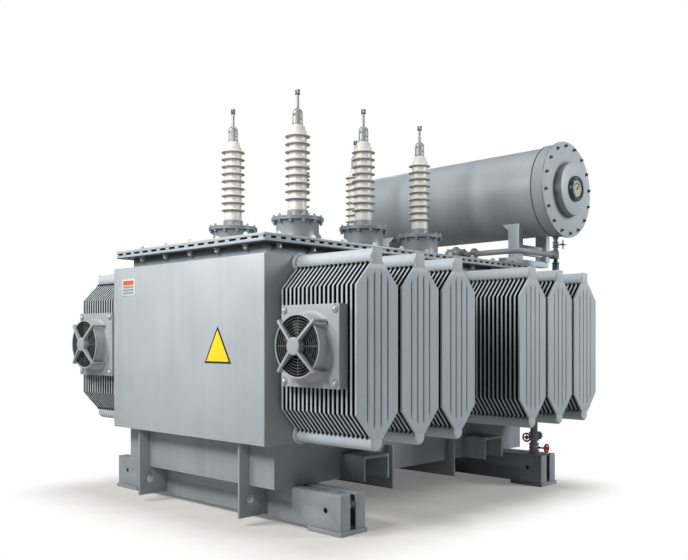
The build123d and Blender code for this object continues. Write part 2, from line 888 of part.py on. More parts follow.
# Posts are channels with a knee at the head, cut to the shell they carry
post_bottom = cover_top + foot_beam_height
with BuildPart() as conservator_posts:
    for sy in (-1, 1):
        inner_y = sy * (post_offset - post_width / 2)
        outer_y = sy * (post_offset + post_width / 2)
        for place in (front_post_offset, rear_post_offset):
            front_x = tank_x + place - post_depth / 2
            with BuildSketch(Plane.YZ.offset(front_x)):
                with BuildLine():
                    Polyline(
                        (outer_y, post_bottom),
                        (inner_y, post_bottom),
                        (inner_y, post_top - knee_height),
                        (inner_y - sy * knee_width, post_top),
                        (outer_y, post_top),
                        close=True,
                    )
                make_face()
            extrude(amount=post_flange)
            with Locations(
                *[
                    (tank_x + place, y - sy * in_or_out * post_flange / 2, post_bottom)
                    for y, in_or_out in ((outer_y, 1), (inner_y, -1))
                ]
            ):
                Box(
                    post_depth,
                    post_flange,
                    post_top - post_bottom,
                    align=(Align.CENTER, Align.CENTER, Align.MIN),
                )
    with BuildSketch(across(-shell_near_end)):
        Circle(shell_radius + saddle_gap)
    extrude(amount=shell_near_end + shell_far_end, mode=Mode.SUBTRACT)
keep(conservator_posts, "conservator_posts")

# Braces between the front and the rear post of each side
brace_start = front_post_offset + post_depth / 2
brace_end = rear_post_offset - post_depth / 2
with BuildPart() as conservator_braces:
    with Locations(
        *[
            (tank_x + (brace_start + brace_end) / 2, sy * post_offset, post_bottom + brace_rise)
            for sy in (-1, 1)
        ]
    ):
        Box(
            brace_end - brace_start,
            brace_width,
            brace_height,
            align=(Align.CENTER, Align.CENTER, Align.MIN),
        )
keep(conservator_braces, "conservator_braces")

# Gas relay on the cover: riser, relay body between two flanges, outlet flange
relay_x = tank_x + relay_offset
relay_middle = (relay_near_end + relay_far_end) / 2
with BuildPart() as gas_relay:
    with Locations((relay_x, -relay_far_end, cover_top)):
        Cylinder(
            relay_riser_diameter / 2,
            pipe_run_height + relay_riser_diameter / 2 - cover_top,
            align=(Align.CENTER, Align.CENTER, Align.MIN),
        )
        Cylinder(
            relay_flange_diameter / 2,
            relay_flange_thickness,
            align=(Align.CENTER, Align.CENTER, Align.MIN),
        )
    with BuildSketch(Plane.XZ.offset(relay_far_end)):
        with Locations((relay_x, pipe_run_height)):
            Circle(relay_pipe_diameter / 2)
    extrude(amount=relay_near_end - relay_far_end)
    flange_places = (
        relay_middle - relay_body_length / 2 - relay_flange_thickness,
        relay_middle + relay_body_length / 2,
        relay_near_end - relay_flange_thickness,
    )
    for place in flange_places:
        with BuildSketch(Plane.XZ.offset(place)):
            with Locations((relay_x, pipe_run_height)):
                Circle(relay_flange_diameter / 2)
        extrude(amount=relay_flange_thickness)
    with Locations((relay_x, -relay_middle, pipe_run_height)):
        Box(relay_body_width, relay_body_length, relay_body_height)
    with Locations((relay_x, -relay_middle, pipe_run_height + relay_body_height / 2)):
        Cylinder(
            relay_cap_diameter / 2,
            relay_cap_height,
            align=(Align.CENTER, Align.CENTER, Align.MIN),
        )
keep(gas_relay, "gas_relay")

# Relay pipe: out over the near edge of the cover, then along it to the tee
with BuildPart() as relay_pipe:
    with BuildLine() as relay_route:
        FilletPolyline(
            (relay_x, -relay_near_end, pipe_run_height),
            (relay_x, -pipe_run_offset, pipe_run_height),
            (conservator_x - tee_reach, -pipe_run_offset, pipe_run_height),
            radius=pipe_bend_radius,
        )
    with BuildSketch(Plane.XZ.offset(relay_near_end)):
        with Locations((relay_x, pipe_run_height)):
            Circle(relay_pipe_diameter / 2)
    sweep(path=relay_route.wires()[0])
    with BuildSketch(Plane.YZ.offset(conservator_x - tee_reach - tee_flange_thickness)):
        with Locations((-pipe_run_offset, pipe_run_height)):
            Circle(tee_flange_diameter / 2)
    extrude(amount=tee_flange_thickness)
keep(relay_pipe, "relay_pipe")

# Drop pipe from the collar through its valve to the tee
with BuildPart() as drop_pipe:
    with Locations((conservator_x, -pipe_run_offset, pipe_run_height)):
        Cylinder(tee_diameter / 2, tee_height)
        Cylinder(
            drop_pipe_diameter / 2,
            drop_top - pipe_run_height,
            align=(Align.CENTER, Align.CENTER, Align.MIN),
        )
    with Locations((conservator_x, -pipe_run_offset, valve_height)):
        Cylinder(valve_body_diameter / 2, valve_body_height)
    with BuildSketch(Plane.YZ.offset(conservator_x - tee_reach)):
        with Locations((-pipe_run_offset, pipe_run_height)):
            Circle(tee_flange_diameter / 2)
    extrude(amount=tee_flange_thickness)
    with BuildSketch(Plane.YZ.offset(conservator_x - tee_reach)):
        with Locations((-pipe_run_offset, pipe_run_height)):
            Circle(relay_pipe_diameter / 2)
    extrude(amount=tee_reach)
keep(drop_pipe, "drop_pipe")

# Cross handle of the drop pipe's valve
handle_start = pipe_run_offset + valve_body_diameter / 2 + seat_gap
with BuildPart() as valve_handle:
    with BuildSketch(Plane.XZ.offset(handle_start)):
        with Locations((conservator_x, valve_height)):
            Circle(valve_stem_diameter / 2)
    extrude(amount=valve_stem_length)
    with Locations((conservator_x, -handle_start - valve_stem_length, valve_height)):
        Box(cross_handle_span, cross_handle_bar, cross_handle_bar)
        Box(cross_handle_bar, cross_handle_bar, cross_handle_span)
keep(valve_handle, "valve_handle")

# Breather under the tee: a can with a flared skirt
breather_top = pipe_run_height - tee_height / 2
can_top = breather_top - breather_neck_length
can_bottom = can_top - breather_height
breather_profile = [
    (0, breather_top),
    (breather_neck / 2, breather_top),
    (breather_neck / 2, can_top),
    (breather_diameter / 2, can_top),
    (breather_diameter / 2, can_bottom + breather_flare_height),
    (breather_flare / 2, can_bottom),
    (0, can_bottom),
]
keep(turned([(conservator_x, -pipe_run_offset)], breather_profile), "breather")

# Drain pipe from the tank wall down to its two valves, standing on the rear skid
drain_x = tank_x + drain_offset
drain_y = -side_wall - drain_reach
with BuildPart() as drain_pipe:
    with BuildLine() as drain_route:
        FilletPolyline(
            (drain_x, -side_wall, drain_height),
            (drain_x, drain_y, drain_height),
            (drain_x, drain_y, skid_top),
            radius=drain_bend_radius,
        )
    with BuildSketch(Plane.XZ.offset(side_wall)):
        with Locations((drain_x, drain_height)):
            Circle(drain_pipe_diameter / 2)
    sweep(path=drain_route.wires()[0])
    with Locations((drain_x, drain_y, skid_top)):
        Cylinder(
            drain_flange_diameter / 2,
            drain_flange_thickness,
            align=(Align.CENTER, Align.CENTER, Align.MIN),
        )
    for level in (upper_wheel_height, lower_wheel_height):
        with Locations((drain_x, drain_y, level)):
            Cylinder(drain_valve_diameter / 2, drain_valve_height)
keep(drain_pipe, "drain_pipe")


def handwheel(frame):
    """Rim, four spokes, hub and stem. The plane's origin is on the valve, its normal is the stem."""
    wheel_plane = frame.offset(wheel_reach)
    with BuildPart() as wheel:
        with BuildSketch(frame):
            Circle(wheel_stem_diameter / 2)
        extrude(amount=wheel_reach)
        with BuildSketch(wheel_plane.offset(-wheel_hub_length / 2)):
            Circle(wheel_hub_diameter / 2)
        extrude(amount=wheel_hub_length)
        with BuildSketch(wheel_plane.offset(-wheel_rim / 2)):
            Circle(wheel_diameter / 2)
            Circle(wheel_diameter / 2 - wheel_rim, mode=Mode.SUBTRACT)
            Rectangle(wheel_diameter - wheel_rim, wheel_spoke)
            Rectangle(wheel_spoke, wheel_diameter - wheel_rim)
        extrude(amount=wheel_rim)
    return wheel


stem_start = drain_valve_diameter / 2 + seat_gap
upper_stem = Plane(
    origin=(drain_x - stem_start, drain_y, upper_wheel_height),
    x_dir=(0, 1, 0),
    z_dir=(-1, 0, 0),
)
lower_stem = Plane(
    origin=(drain_x, drain_y - stem_start, lower_wheel_height),
    x_dir=(1, 0, 0),
    z_dir=(0, -1, 0),
)
keep(handwheel(upper_stem), "handwheel_upper")
keep(handwheel(lower_stem), "handwheel_lower")
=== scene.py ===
# %% [markdown]
# # Dressing a power transformer
# A power transformer is a welded steel tank full of oil. Around it stand radiators with fans,
# on its cover stand porcelain bushings, and over its rear end lies the oil conservator.
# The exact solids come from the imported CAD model. Blender adds what makes them look real:
# rounded edges, pressed grooves, bolts, wire guards, glazed porcelain and painted steel.
# Loading the model first means that every piece below can be placed by the solids' own boxes.

# %% Load the fixed frame
import json

import bmesh
import bpy
import numpy as np
from mathutils import Euler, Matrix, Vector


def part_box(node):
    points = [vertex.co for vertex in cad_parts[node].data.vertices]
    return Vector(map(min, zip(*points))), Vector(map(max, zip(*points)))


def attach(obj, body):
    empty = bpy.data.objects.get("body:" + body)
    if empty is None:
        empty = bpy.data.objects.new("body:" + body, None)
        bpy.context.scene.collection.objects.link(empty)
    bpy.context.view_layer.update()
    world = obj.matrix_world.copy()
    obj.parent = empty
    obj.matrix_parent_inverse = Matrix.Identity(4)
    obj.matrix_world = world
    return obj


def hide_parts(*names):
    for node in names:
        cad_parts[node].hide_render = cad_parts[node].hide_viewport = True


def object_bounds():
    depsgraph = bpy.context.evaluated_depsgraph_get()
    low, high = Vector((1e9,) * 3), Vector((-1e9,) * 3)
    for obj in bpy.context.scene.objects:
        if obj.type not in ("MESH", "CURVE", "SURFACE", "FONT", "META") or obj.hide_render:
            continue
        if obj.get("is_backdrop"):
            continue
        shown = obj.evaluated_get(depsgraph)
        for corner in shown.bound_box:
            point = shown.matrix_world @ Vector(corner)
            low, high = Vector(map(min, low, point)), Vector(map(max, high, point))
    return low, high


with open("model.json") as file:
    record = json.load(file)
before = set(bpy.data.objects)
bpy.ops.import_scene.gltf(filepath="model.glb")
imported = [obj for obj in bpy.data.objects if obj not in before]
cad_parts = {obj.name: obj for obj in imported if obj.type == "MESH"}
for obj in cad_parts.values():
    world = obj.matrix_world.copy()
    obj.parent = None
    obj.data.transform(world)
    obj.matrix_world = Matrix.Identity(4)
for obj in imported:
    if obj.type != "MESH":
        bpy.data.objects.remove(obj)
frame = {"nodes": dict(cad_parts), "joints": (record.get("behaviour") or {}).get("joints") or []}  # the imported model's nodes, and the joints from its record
cad_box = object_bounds()  # the whole model's box before anything is added

# %% [markdown]
# ## Shapes as arrays
# Every new piece is a surface computed with numpy. A shape is kept as three arrays: its points,
# the corners of all faces one after another, and the number of corners of each face. Shapes can
# then be joined, copied to many places and turned without any loop over points. A bolt circle,
# for instance, is one bolt and an array of places.


# %% The shape class
def unit(vectors):
    """Each vector divided by its own length."""
    vectors = np.asarray(vectors, float)
    return vectors / np.linalg.norm(vectors, axis=-1, keepdims=True)


class Shape:
    """Points, the corners of every face in a row, and how many corners each face has."""

    def __init__(self, points, corners, sizes):
        self.points = np.asarray(points, float).reshape(-1, 3)
        self.corners = np.asarray(corners, int).ravel()
        self.sizes = np.asarray(sizes, int).ravel()

    def __add__(self, other):
        """Both shapes in one: the second's corners count on from the first's last point."""
        corners = np.concatenate([self.corners, other.corners + len(self.points)])
        points = np.concatenate([self.points, other.points])
        return Shape(points, corners, np.concatenate([self.sizes, other.sizes]))

    def at(self, *places):
        """One copy for each place: every point plus the place."""
        places = np.asarray(places, float).reshape(-1, 3)
        points = self.points[None] + places[:, None]
        first = np.arange(len(places))[:, None] * len(self.points)
        return Shape(points, self.corners[None] + first, np.tile(self.sizes, len(places)))

    def turned(self, side, up):
        """Carries local x to side, local z to up, and local y to up crossed with side."""
        side, up = unit(side), unit(up)
        return Shape(self.points @ np.stack([side, np.cross(up, side), up]), self.corners, self.sizes)

    def mirrored(self, axis):
        """The mirror image: one coordinate changes sign, and every face is read backwards."""
        signs = np.where(np.arange(3) == axis, -1.0, 1.0)
        return Shape(self.points * signs, self.corners[::-1], self.sizes[::-1])


def joined(shapes):
    """All shapes of a list as one."""
    whole = shapes[0]
    for shape in shapes[1:]:
        whole = whole + shape
    return whole


def around(shape, turns):
    """One copy for each angle, turned about z by that angle."""
    return joined([shape.turned((np.cos(turn), np.sin(turn), 0), (0, 0, 1)) for turn in turns])


def four_corners(x, y, z=0.0):
    """The four places (+-x, +-y, z)."""
    return [(sign_x * x, sign_y * y, z) for sign_x in (-1, 1) for sign_y in (-1, 1)]


# %% [markdown]
# ## Skins, turned shapes, plates and swept shapes
# Nearly all steelwork is made in one of three ways, and so are these surfaces. A turned part is a
# profile carried round an axis. A cut plate is an outline carried through its thickness. A pipe
# or strap is a small outline carried along a path. All three are rings of points, one ring after
# another, and one function closes the skin between the rings.


# %% The skin between rings of points
def skin(grid, looped=False):
    """Joins grid[r, c] to its neighbours in the ring and in the next ring.

    The rings run counter-clockwise about the direction from the first ring to the last, so that
    the faces point outwards. The end rings become flat caps, unless the rings form a loop.
    """
    rows, columns = grid.shape[:2]
    index = np.arange(rows * columns).reshape(rows, columns)
    if looped:
        index = np.concatenate([index, index[:1]])
    right = np.roll(index, -1, axis=1)
    quads = np.stack([index[:-1], right[:-1], right[1:], index[1:]], axis=-1).reshape(-1, 4)
    if looped:
        return Shape(grid, quads, np.full(len(quads), 4))
    corners = np.concatenate([quads.ravel(), index[0][::-1], index[-1]])
    return Shape(grid, corners, np.concatenate([np.full(len(quads), 4), [columns, columns]]))


def angles(count, start=0.0):
    """Equal steps round a full turn."""
    return start + np.linspace(0, 2 * np.pi, count, endpoint=False)


def circle(radius, count=16, start=0.0):
    """The outline (r cos a, r sin a)."""
    turn = angles(count, start)
    return radius * np.stack([np.cos(turn), np.sin(turn)], axis=-1)


def lathe(profile, count=48, looped=False):
    """A profile of (radius, height) pairs turned about z: (r cos a, r sin a, h)."""
    profile = np.asarray(profile, float)
    flat = profile[:, None, :1] * circle(1.0, count)[None]
    height = np.broadcast_to(profile[:, None, 1:], flat.shape[:2] + (1,))
    return skin(np.concatenate([flat, height], axis=-1), looped)


def drum(radius, low, high, edge=0.003, count=48):
    """A disc or cylinder from low to high with its two rims chamfered by edge."""
    profile = [(radius - edge, low), (radius, low + edge), (radius, high - edge), (radius - edge, high)]
    return lathe(profile, count)


def washer(inner, outer, low, high, count=48):
    """A flat ring with a hole: the outer wall goes up, the inner wall comes down."""
    return lathe([(outer, low), (outer, high), (inner, high), (inner, low)], count, looped=True)


sample = drum(0.1, 0, 0.02)
print("a chamfered disc has", len(sample.sizes), "faces")


# %% Plates with rounded edges
def rounded(width, depth, radius, steps=3):
    """A rectangle whose corners are arcs: the corner's centre plus (r cos a, r sin a)."""
    quarter = np.linspace(0, np.pi / 2, steps + 1)
    turns = np.arange(4)[:, None] * np.pi / 2 + quarter
    centres = np.array([(1, 1), (-1, 1), (-1, -1), (1, -1)]) * (width / 2 - radius, depth / 2 - radius)
    arcs = centres[:, None] + radius * np.stack([np.cos(turns), np.sin(turns)], axis=-1)
    return arcs.reshape(-1, 2)


def inset(outline, amount):
    """Every side of a counter-clockwise outline moved inwards by the same amount.

    Each corner moves by amount * (a + b) / (1 + a.b), with a and b its two inward normals.
    """
    outline = np.asarray(outline, float)
    step = unit(outline - np.roll(outline, 1, axis=0))
    before = np.stack([-step[:, 1], step[:, 0]], axis=-1)
    after = np.roll(before, -1, axis=0)
    return outline + amount * (before + after) / (1 + np.sum(before * after, axis=-1, keepdims=True))


def plate(outline, low, high, edge=0.003, steps=2, top=None):
    """An outline carried from low to high. Near both faces it shrinks by e (1 - sin t), so that
    the edge is a quarter round, while the height runs by e (1 - cos t)."""
    top = edge if top is None else top
    turn = np.linspace(0, np.pi / 2, steps + 1)
    shrink, rise = 1 - np.sin(turn), 1 - np.cos(turn)
    levels = np.concatenate([low + edge * rise, high - top * rise[::-1]])
    rings = [inset(outline, amount) for amount in np.concatenate([edge * shrink, top * shrink[::-1]])]
    height = np.broadcast_to(levels[:, None, None], (len(levels), len(outline), 1))
    return skin(np.concatenate([np.stack(rings), height], axis=-1))


def slab(low, high, edge=0.003, corner=0.0, top=None):
    """A block between two opposite corners, with rounded edges."""
    low, high = np.asarray(low, float), np.asarray(high, float)
    size, middle = high - low, (high + low) / 2
    outline = rounded(size[0], size[1], max(corner, edge), steps=2)
    return plate(outline, low[2], high[2], edge, top=top).at((middle[0], middle[1], 0))


sample = plate(rounded(0.2, 0.1, 0.01), 0, 0.01)
print("a plate with soft edges has", len(sample.sizes), "faces")


# %% Outlines swept along paths
def sweep(outline, path, up, looped=False):
    """A flat outline (a, b) carried along a path: point = path + a * side + b * lift.

    Here side is up crossed with the path's direction, and lift is square to both.
    """
    outline, path = np.asarray(outline, float), np.asarray(path, float)
    if looped:
        ahead = np.roll(path, -1, axis=0) - np.roll(path, 1, axis=0)
    else:
        ahead = np.gradient(path, axis=0)
    ahead = unit(ahead)
    side = unit(np.cross(np.asarray(up, float), ahead))
    lift = np.cross(ahead, side)
    grid = path[:, None] + outline[:, :1] * side[:, None] + outline[:, 1:] * lift[:, None]
    return skin(grid, looped)


def hoop(radius, wire, height=0.0, count=48, sides=8):
    """A wire ring in the plane z = height."""
    ring = circle(radius, count)
    path = np.concatenate([ring, np.full((count, 1), height)], axis=-1)
    return sweep(circle(wire, sides), path, (0, 0, 1), looped=True)


def bent(corners, radius, steps=6):
    """A path through corners with each inner corner rounded: c + s u + t v on a quarter round."""
    corners = np.asarray(corners, float)
    path = [corners[:1]]
    turn = np.linspace(0, np.pi / 2, steps + 1)[:, None]
    for before, corner, after in zip(corners[:-2], corners[1:-1], corners[2:]):
        back, on = unit(before - corner), unit(after - corner)
        path.append(corner + radius * ((1 - np.sin(turn)) * back + (1 - np.cos(turn)) * on))
    path.append(corners[-1:])
    return np.concatenate(path)


def pipe(corners, radius, up, bend=0.05, sides=24):
    """A round pipe along a bent path."""
    return sweep(circle(radius, sides), bent(corners, bend), up)


sample = hoop(0.1, 0.002)
print("a wire ring has", len(sample.sizes), "faces")


# %% [markdown]
# ## Bolts
# Bolts tell the eye how large a machine is, so even the small ones are real shapes: a washer, a
# chamfered hexagon and the end of the stud. Each one has only a few dozen faces, since the
# transformer carries a few hundred of them.


# %% Bolt shapes
def bolt(size, washer_share=1.25, stud_share=0.35):
    """A hexagon head of that width across corners on its washer, standing on z = 0."""
    thin = 0.12 * size
    head = plate(circle(size / 2, 6), thin, thin + 0.62 * size, edge=0.06 * size, steps=1)
    base = drum(size / 2 * washer_share, 0, thin, edge=0.02 * size, count=12)
    stud = drum(size * stud_share / 2 + 0.1 * size, thin, thin + 0.78 * size, edge=0.05 * size, count=8)
    return base + head + stud


def bolt_circle(size, radius, count, height=0.0, start=0.0):
    """Bolts on a circle in the plane z = height, heads up."""
    places = np.concatenate([circle(radius, count, start), np.full((count, 1), height)], axis=-1)
    return bolt(size).at(*places)


sample = bolt(0.03)
print("a bolt has", len(sample.sizes), "faces")

# %% [markdown]
# ## Shader maths as plain expressions
# A material is a small formula over the surface. Written with nodes one by one it is hard to
# read, so a number that varies over the surface is wrapped in a class whose operators add the
# Math nodes. Every other kind of node comes from one method, which sets the node's own settings
# first and then the values or links of its sockets.


# %% Values and finishes
class Value:
    """A number that varies over the surface: the output of a node in a finish."""

    def __init__(self, finish, socket):
        self.finish, self.socket = finish, socket

    def maths(self, operation, first, second):
        """One Math node that joins two numbers or values."""
        made = self.finish.node("ShaderNodeMath", {"operation": operation}, {0: first, 1: second})
        return Value(self.finish, made.outputs[0])

    def __add__(self, other):
        return self.maths("ADD", self, other)

    def __sub__(self, other):
        return self.maths("SUBTRACT", self, other)

    def __rsub__(self, other):
        return self.maths("SUBTRACT", other, self)

    def __mul__(self, other):
        return self.maths("MULTIPLY", self, other)

    def __pow__(self, other):
        return self.maths("POWER", self, other)

    def __abs__(self):
        return self.maths("ABSOLUTE", self, 0.0)

    def above(self, floor):
        """The larger of the value and the floor."""
        return self.maths("MAXIMUM", self, floor)

    __radd__ = __add__
    __rmul__ = __mul__


class Finish:
    """A material with a Principled shader, and the few things that the finishes here need."""

    def __init__(self, name, **constants):
        self.material = bpy.data.materials.new(name)
        self.material.use_nodes = True
        self.tree = self.material.node_tree
        self.shader = self.tree.nodes["Principled BSDF"]
        self.place = self.node("ShaderNodeTexCoord").outputs["Object"]
        for socket, value in constants.items():
            self.shader.inputs[socket.replace("_", " ")].default_value = value

    def node(self, kind, settings=None, sockets=None):
        """Adds a node: its settings first, then a value or a link for each named socket."""
        made = self.tree.nodes.new(kind)
        for setting, value in (settings or {}).items():
            setattr(made, setting, value)
        for name, value in (sockets or {}).items():
            if isinstance(value, Value):
                value = value.socket
            if isinstance(value, bpy.types.NodeSocket):
                self.tree.links.new(value, made.inputs[name])
            else:
                made.inputs[name].default_value = value
        return made

    def noise(self, scale, stretch=(1, 1, 1), detail=4.0, roughness=0.5):
        """Noise from 0 to 1 with about `scale` lumps to the metre, stretched along the axes."""
        moved = self.node("ShaderNodeMapping", {}, {"Vector": self.place, "Scale": stretch})
        sockets = {"Vector": moved.outputs[0], "Scale": scale, "Detail": detail, "Roughness": roughness}
        return Value(self, self.node("ShaderNodeTexNoise", {}, sockets).outputs["Fac"])

    def axis(self, letter):
        """The surface point's own x, y or z in metres."""
        split = self.node("ShaderNodeSeparateXYZ", {}, {"Vector": self.place})
        return Value(self, split.outputs[letter])

    def told(self, name):
        """A number that the mesh itself carries at every point."""
        return Value(self, self.node("ShaderNodeAttribute", {"attribute_name": name}).outputs["Fac"])

    def step(self, value, low, high):
        """Rises smoothly from 0 to 1 while the value goes from low to high."""
        settings = {"interpolation_type": "SMOOTHSTEP"}
        sockets = {"Value": value, "From Min": low, "From Max": high}
        return Value(self, self.node("ShaderNodeMapRange", settings, sockets).outputs["Result"])

    def blend(self, factor, first, second):
        """A colour that goes from the first to the second as the factor goes from 0 to 1."""
        settings = {"data_type": "RGBA", "clamp_factor": True}
        first, second = [c if isinstance(c, Value) else (*c, 1.0) for c in (first, second)]
        made = self.node("ShaderNodeMix", settings, {0: factor, 6: first, 7: second})
        return Value(self, made.outputs[2])

    def feed(self, **values):
        """Links values to the shader's own sockets."""
        for socket, value in values.items():
            self.tree.links.new(value.socket, self.shader.inputs[socket.replace("_", " ")])
        return self

    def bump(self, height, distance, strength=1.0):
        """Raises the surface by height * distance in metres, for the light only."""
        sockets = {"Height": height, "Distance": distance, "Strength": strength}
        made = self.node("ShaderNodeBump", {}, sockets)
        self.tree.links.new(made.outputs[0], self.shader.inputs["Normal"])
        return self


# %% [markdown]
# ## Painted steel
# The tank, radiators and conservator wear the same cool grey enamel. Sprayed enamel is never one
# flat grey: rain leaves faint vertical streaks, thick and thin coats make soft clouds, and the
# film has a fine orange peel. Four layers of noise give this, each with its own size and stretch,
# and they also move the gloss a little, which shows most on the curved pieces.


# %% Enamel and bare metal
def shade(colour, amount):
    """A colour made lighter or darker by a share."""
    return tuple(channel * amount for channel in colour)


def enamel(name, colour, roughness=0.4, contrast=0.12, coat=0.15, recess=None):
    """Enamel: clouds + vertical streaks + specks set the tone and the gloss. Where the mesh carries
    painted shade, the tone goes down with it to the given share, and the coat thins with it."""
    made = Finish(name, Coat_Weight=coat, Coat_Roughness=0.25, Specular_IOR_Level=0.4)
    clouds = made.noise(1.6, detail=5.0)
    streaks = made.noise(9.0, stretch=(1, 1, 0.05), detail=6.0, roughness=0.62)
    specks = made.noise(160.0, detail=2.0)
    tone = 0.45 * clouds + 0.4 * streaks + 0.15 * specks
    tint = made.blend(made.step(tone, 0.3, 0.7), shade(colour, 1 - contrast), shade(colour, 1 + contrast))
    # Painted shade: the mesh's number darkens the tone and thins the coat.
    if recess is not None:
        depth = made.told("recess")
        tint = made.blend(depth, tint, shade(colour, recess))
        made.feed(Coat_Weight=coat * (1.0 - depth))
    made.feed(Base_Color=tint, Roughness=roughness + 0.2 * (clouds - 0.5) + 0.1 * (streaks - 0.5))
    return made.bump(made.noise(420.0, detail=2.0) + 0.6 * specks, 0.0004, 0.5)


def cast_metal(name, colour, roughness=0.38, metallic=0.85):
    """Bare metal: fine grain in the tone, and a duller, cloudy bloom."""
    made = Finish(name, Metallic=metallic)
    bloom = made.noise(14.0, detail=6.0)
    grain = made.noise(260.0, detail=3.0)
    tint = made.blend(0.6 * bloom + 0.4 * grain, shade(colour, 0.72), shade(colour, 1.15))
    made.feed(Base_Color=tint, Roughness=roughness + 0.3 * (bloom - 0.5))
    return made.bump(grain, 0.0003, 0.5)


GREY = (0.335, 0.372, 0.400)
# The steel all wears the one grey. The shares on it below are painted light and shade: each part's copy is
# made lighter or darker by how much light reaches it, the supports lighter, the base and the fittings darker,
# as they lie in shade.
tank_paint = enamel("tank enamel", GREY, contrast=0.075, recess=0.06)
panel_paint = enamel("radiator enamel", shade(GREY, 1.11), roughness=0.48, contrast=0.08, coat=0.05,
                     recess=0.02)
pipe_paint = enamel("collector enamel", shade(GREY, 1.2), roughness=0.6, contrast=0.08, coat=0.0)
drop_paint = enamel("dark pipe enamel", (0.13, 0.155, 0.16), roughness=0.45)
vessel_paint = enamel("conservator enamel", shade(GREY, 1.02), roughness=0.46, contrast=0.08, coat=0.05,
                      recess=0.2)
lit_post_paint = enamel("support enamel", shade(GREY, 1.38), roughness=0.45, contrast=0.08)
shaded_base_paint = enamel("base enamel", shade(GREY, 0.71), roughness=0.5, contrast=0.14)
fitting_paint = enamel("fitting enamel", shade(GREY, 0.65), roughness=0.45)
fan_paint = enamel("fan enamel", (0.30, 0.325, 0.343), roughness=0.5, contrast=0.07, coat=0.0)
wire_paint = enamel("guard wire enamel", (0.17, 0.185, 0.19), roughness=0.3, contrast=0.06)
rotor_paint = enamel("black fan enamel", (0.006, 0.007, 0.008), roughness=0.42, contrast=0.3, coat=0.0)
wheel_paint = enamel("red valve enamel", (0.27, 0.010, 0.016), roughness=0.35, contrast=0.15)
breather_paint = enamel("dark teal enamel", (0.018, 0.052, 0.058), roughness=0.3, contrast=0.2)
zinc = cast_metal("zinc plated steel", (0.50, 0.52, 0.54), roughness=0.38, metallic=0.35)
aluminium = cast_metal("cast aluminium", (0.36, 0.37, 0.36), roughness=0.5, metallic=0.4)
dark_steel = cast_metal("blued clamp steel", (0.10, 0.11, 0.12), roughness=0.4, metallic=0.6)
print("painted finishes", [m.name for m in bpy.data.materials])

# %% [markdown]
# Porcelain is fired under a cream glaze that pools a little in the hollows, so its tone drifts
# slowly while the surface stays smooth. Under each shed the glaze is darkened as painted shade,
# where the shed keeps the light off. Rubber is the opposite: nearly black, rough all over.


# %% Porcelain and rubber
SHED_SHADE_COLOUR = (0.34, 0.34, 0.31)


def glaze(name, colour):
    """Cream glaze: slow drifts of tone under a thin satin coat, darkened by painted shade where the mesh says
    so.
    """
    made = Finish(name, Coat_Weight=0.25, Coat_Roughness=0.3)
    drift = made.noise(5.0, stretch=(1, 1, 2.2), detail=4.0)
    fleck = made.noise(90.0, detail=2.0)
    tint = made.blend(0.7 * drift + 0.3 * fleck, shade(colour, 0.9), shade(colour, 1.06))
    # Painted shade: the glaze darkens towards a grey where the mesh says so.
    tint = made.blend(made.told("recess"), tint, SHED_SHADE_COLOUR)
    made.feed(Base_Color=tint, Roughness=0.36 + 0.12 * drift)
    return made.bump(drift, 0.0015, 0.3)


def rubber(name, colour):
    """Moulded rubber: a dusty bloom over nearly black."""
    made = Finish(name)
    bloom = made.noise(30.0, detail=5.0)
    made.feed(Base_Color=made.blend(bloom, shade(colour, 0.6), shade(colour, 1.8)))
    made.feed(Roughness=0.65 + 0.25 * bloom)
    return made.bump(made.noise(300.0, detail=2.0), 0.0005, 0.5)


porcelain = glaze("cream porcelain glaze", (0.66, 0.65, 0.60))
gasket_rubber = rubber("gasket rubber", (0.03, 0.03, 0.03))
print("the glaze has", len(porcelain.tree.nodes), "nodes, the rubber", len(gasket_rubber.tree.nodes))

# %% [markdown]
# ## Turning a shape into a piece
# A piece needs more than a mesh: it must move with the right part of the machine, and it must
# wear its finish. One function does both, smooths every edge that is blunter than a given angle,
# and prints what it made. Where a piece stands for a plainer solid of the CAD model, the solid is
# hidden and the piece takes its place.


# %% Pieces
CREASE = np.radians(38)


def span(node):
    """The lowest and highest corner of a CAD node, as arrays."""
    low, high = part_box(node)  # the node's two opposite corners at rest
    return np.array(low), np.array(high)


def piece(name, shape, finish, body="transformer", nodes=(), recess=None):
    """Makes the mesh from the three arrays, gives it its finish and hangs it on its body.

    The painted shade is one number for each point: 0 out in the open, 1 deep in the shade."""
    mesh = bpy.data.meshes.new(name)
    mesh.vertices.add(len(shape.points))
    mesh.vertices.foreach_set("co", shape.points.ravel())
    mesh.loops.add(len(shape.corners))
    mesh.loops.foreach_set("vertex_index", shape.corners)
    mesh.polygons.add(len(shape.sizes))
    mesh.polygons.foreach_set("loop_start", np.cumsum(shape.sizes) - shape.sizes)
    mesh.polygons.foreach_set("use_smooth", np.ones(len(shape.sizes), bool))
    mesh.update(calc_edges=True)
    mesh.set_sharp_from_angle(angle=CREASE)
    # The painted shade rides on the mesh, for the finish to read.
    if recess is not None:
        mesh.attributes.new("recess", "FLOAT", "POINT").data.foreach_set("value", recess)
    mesh.materials.append(finish.material)
    made = bpy.data.objects.new(name, mesh)
    bpy.context.scene.collection.objects.link(made)
    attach(made, body)  # the piece moves with this body
    if nodes:
        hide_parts(*nodes)  # these plainer solids are hidden, and the piece stands for them
    triangles = int(np.sum(shape.sizes - 2))
    print(f"{name}: {triangles} triangles")
    return made
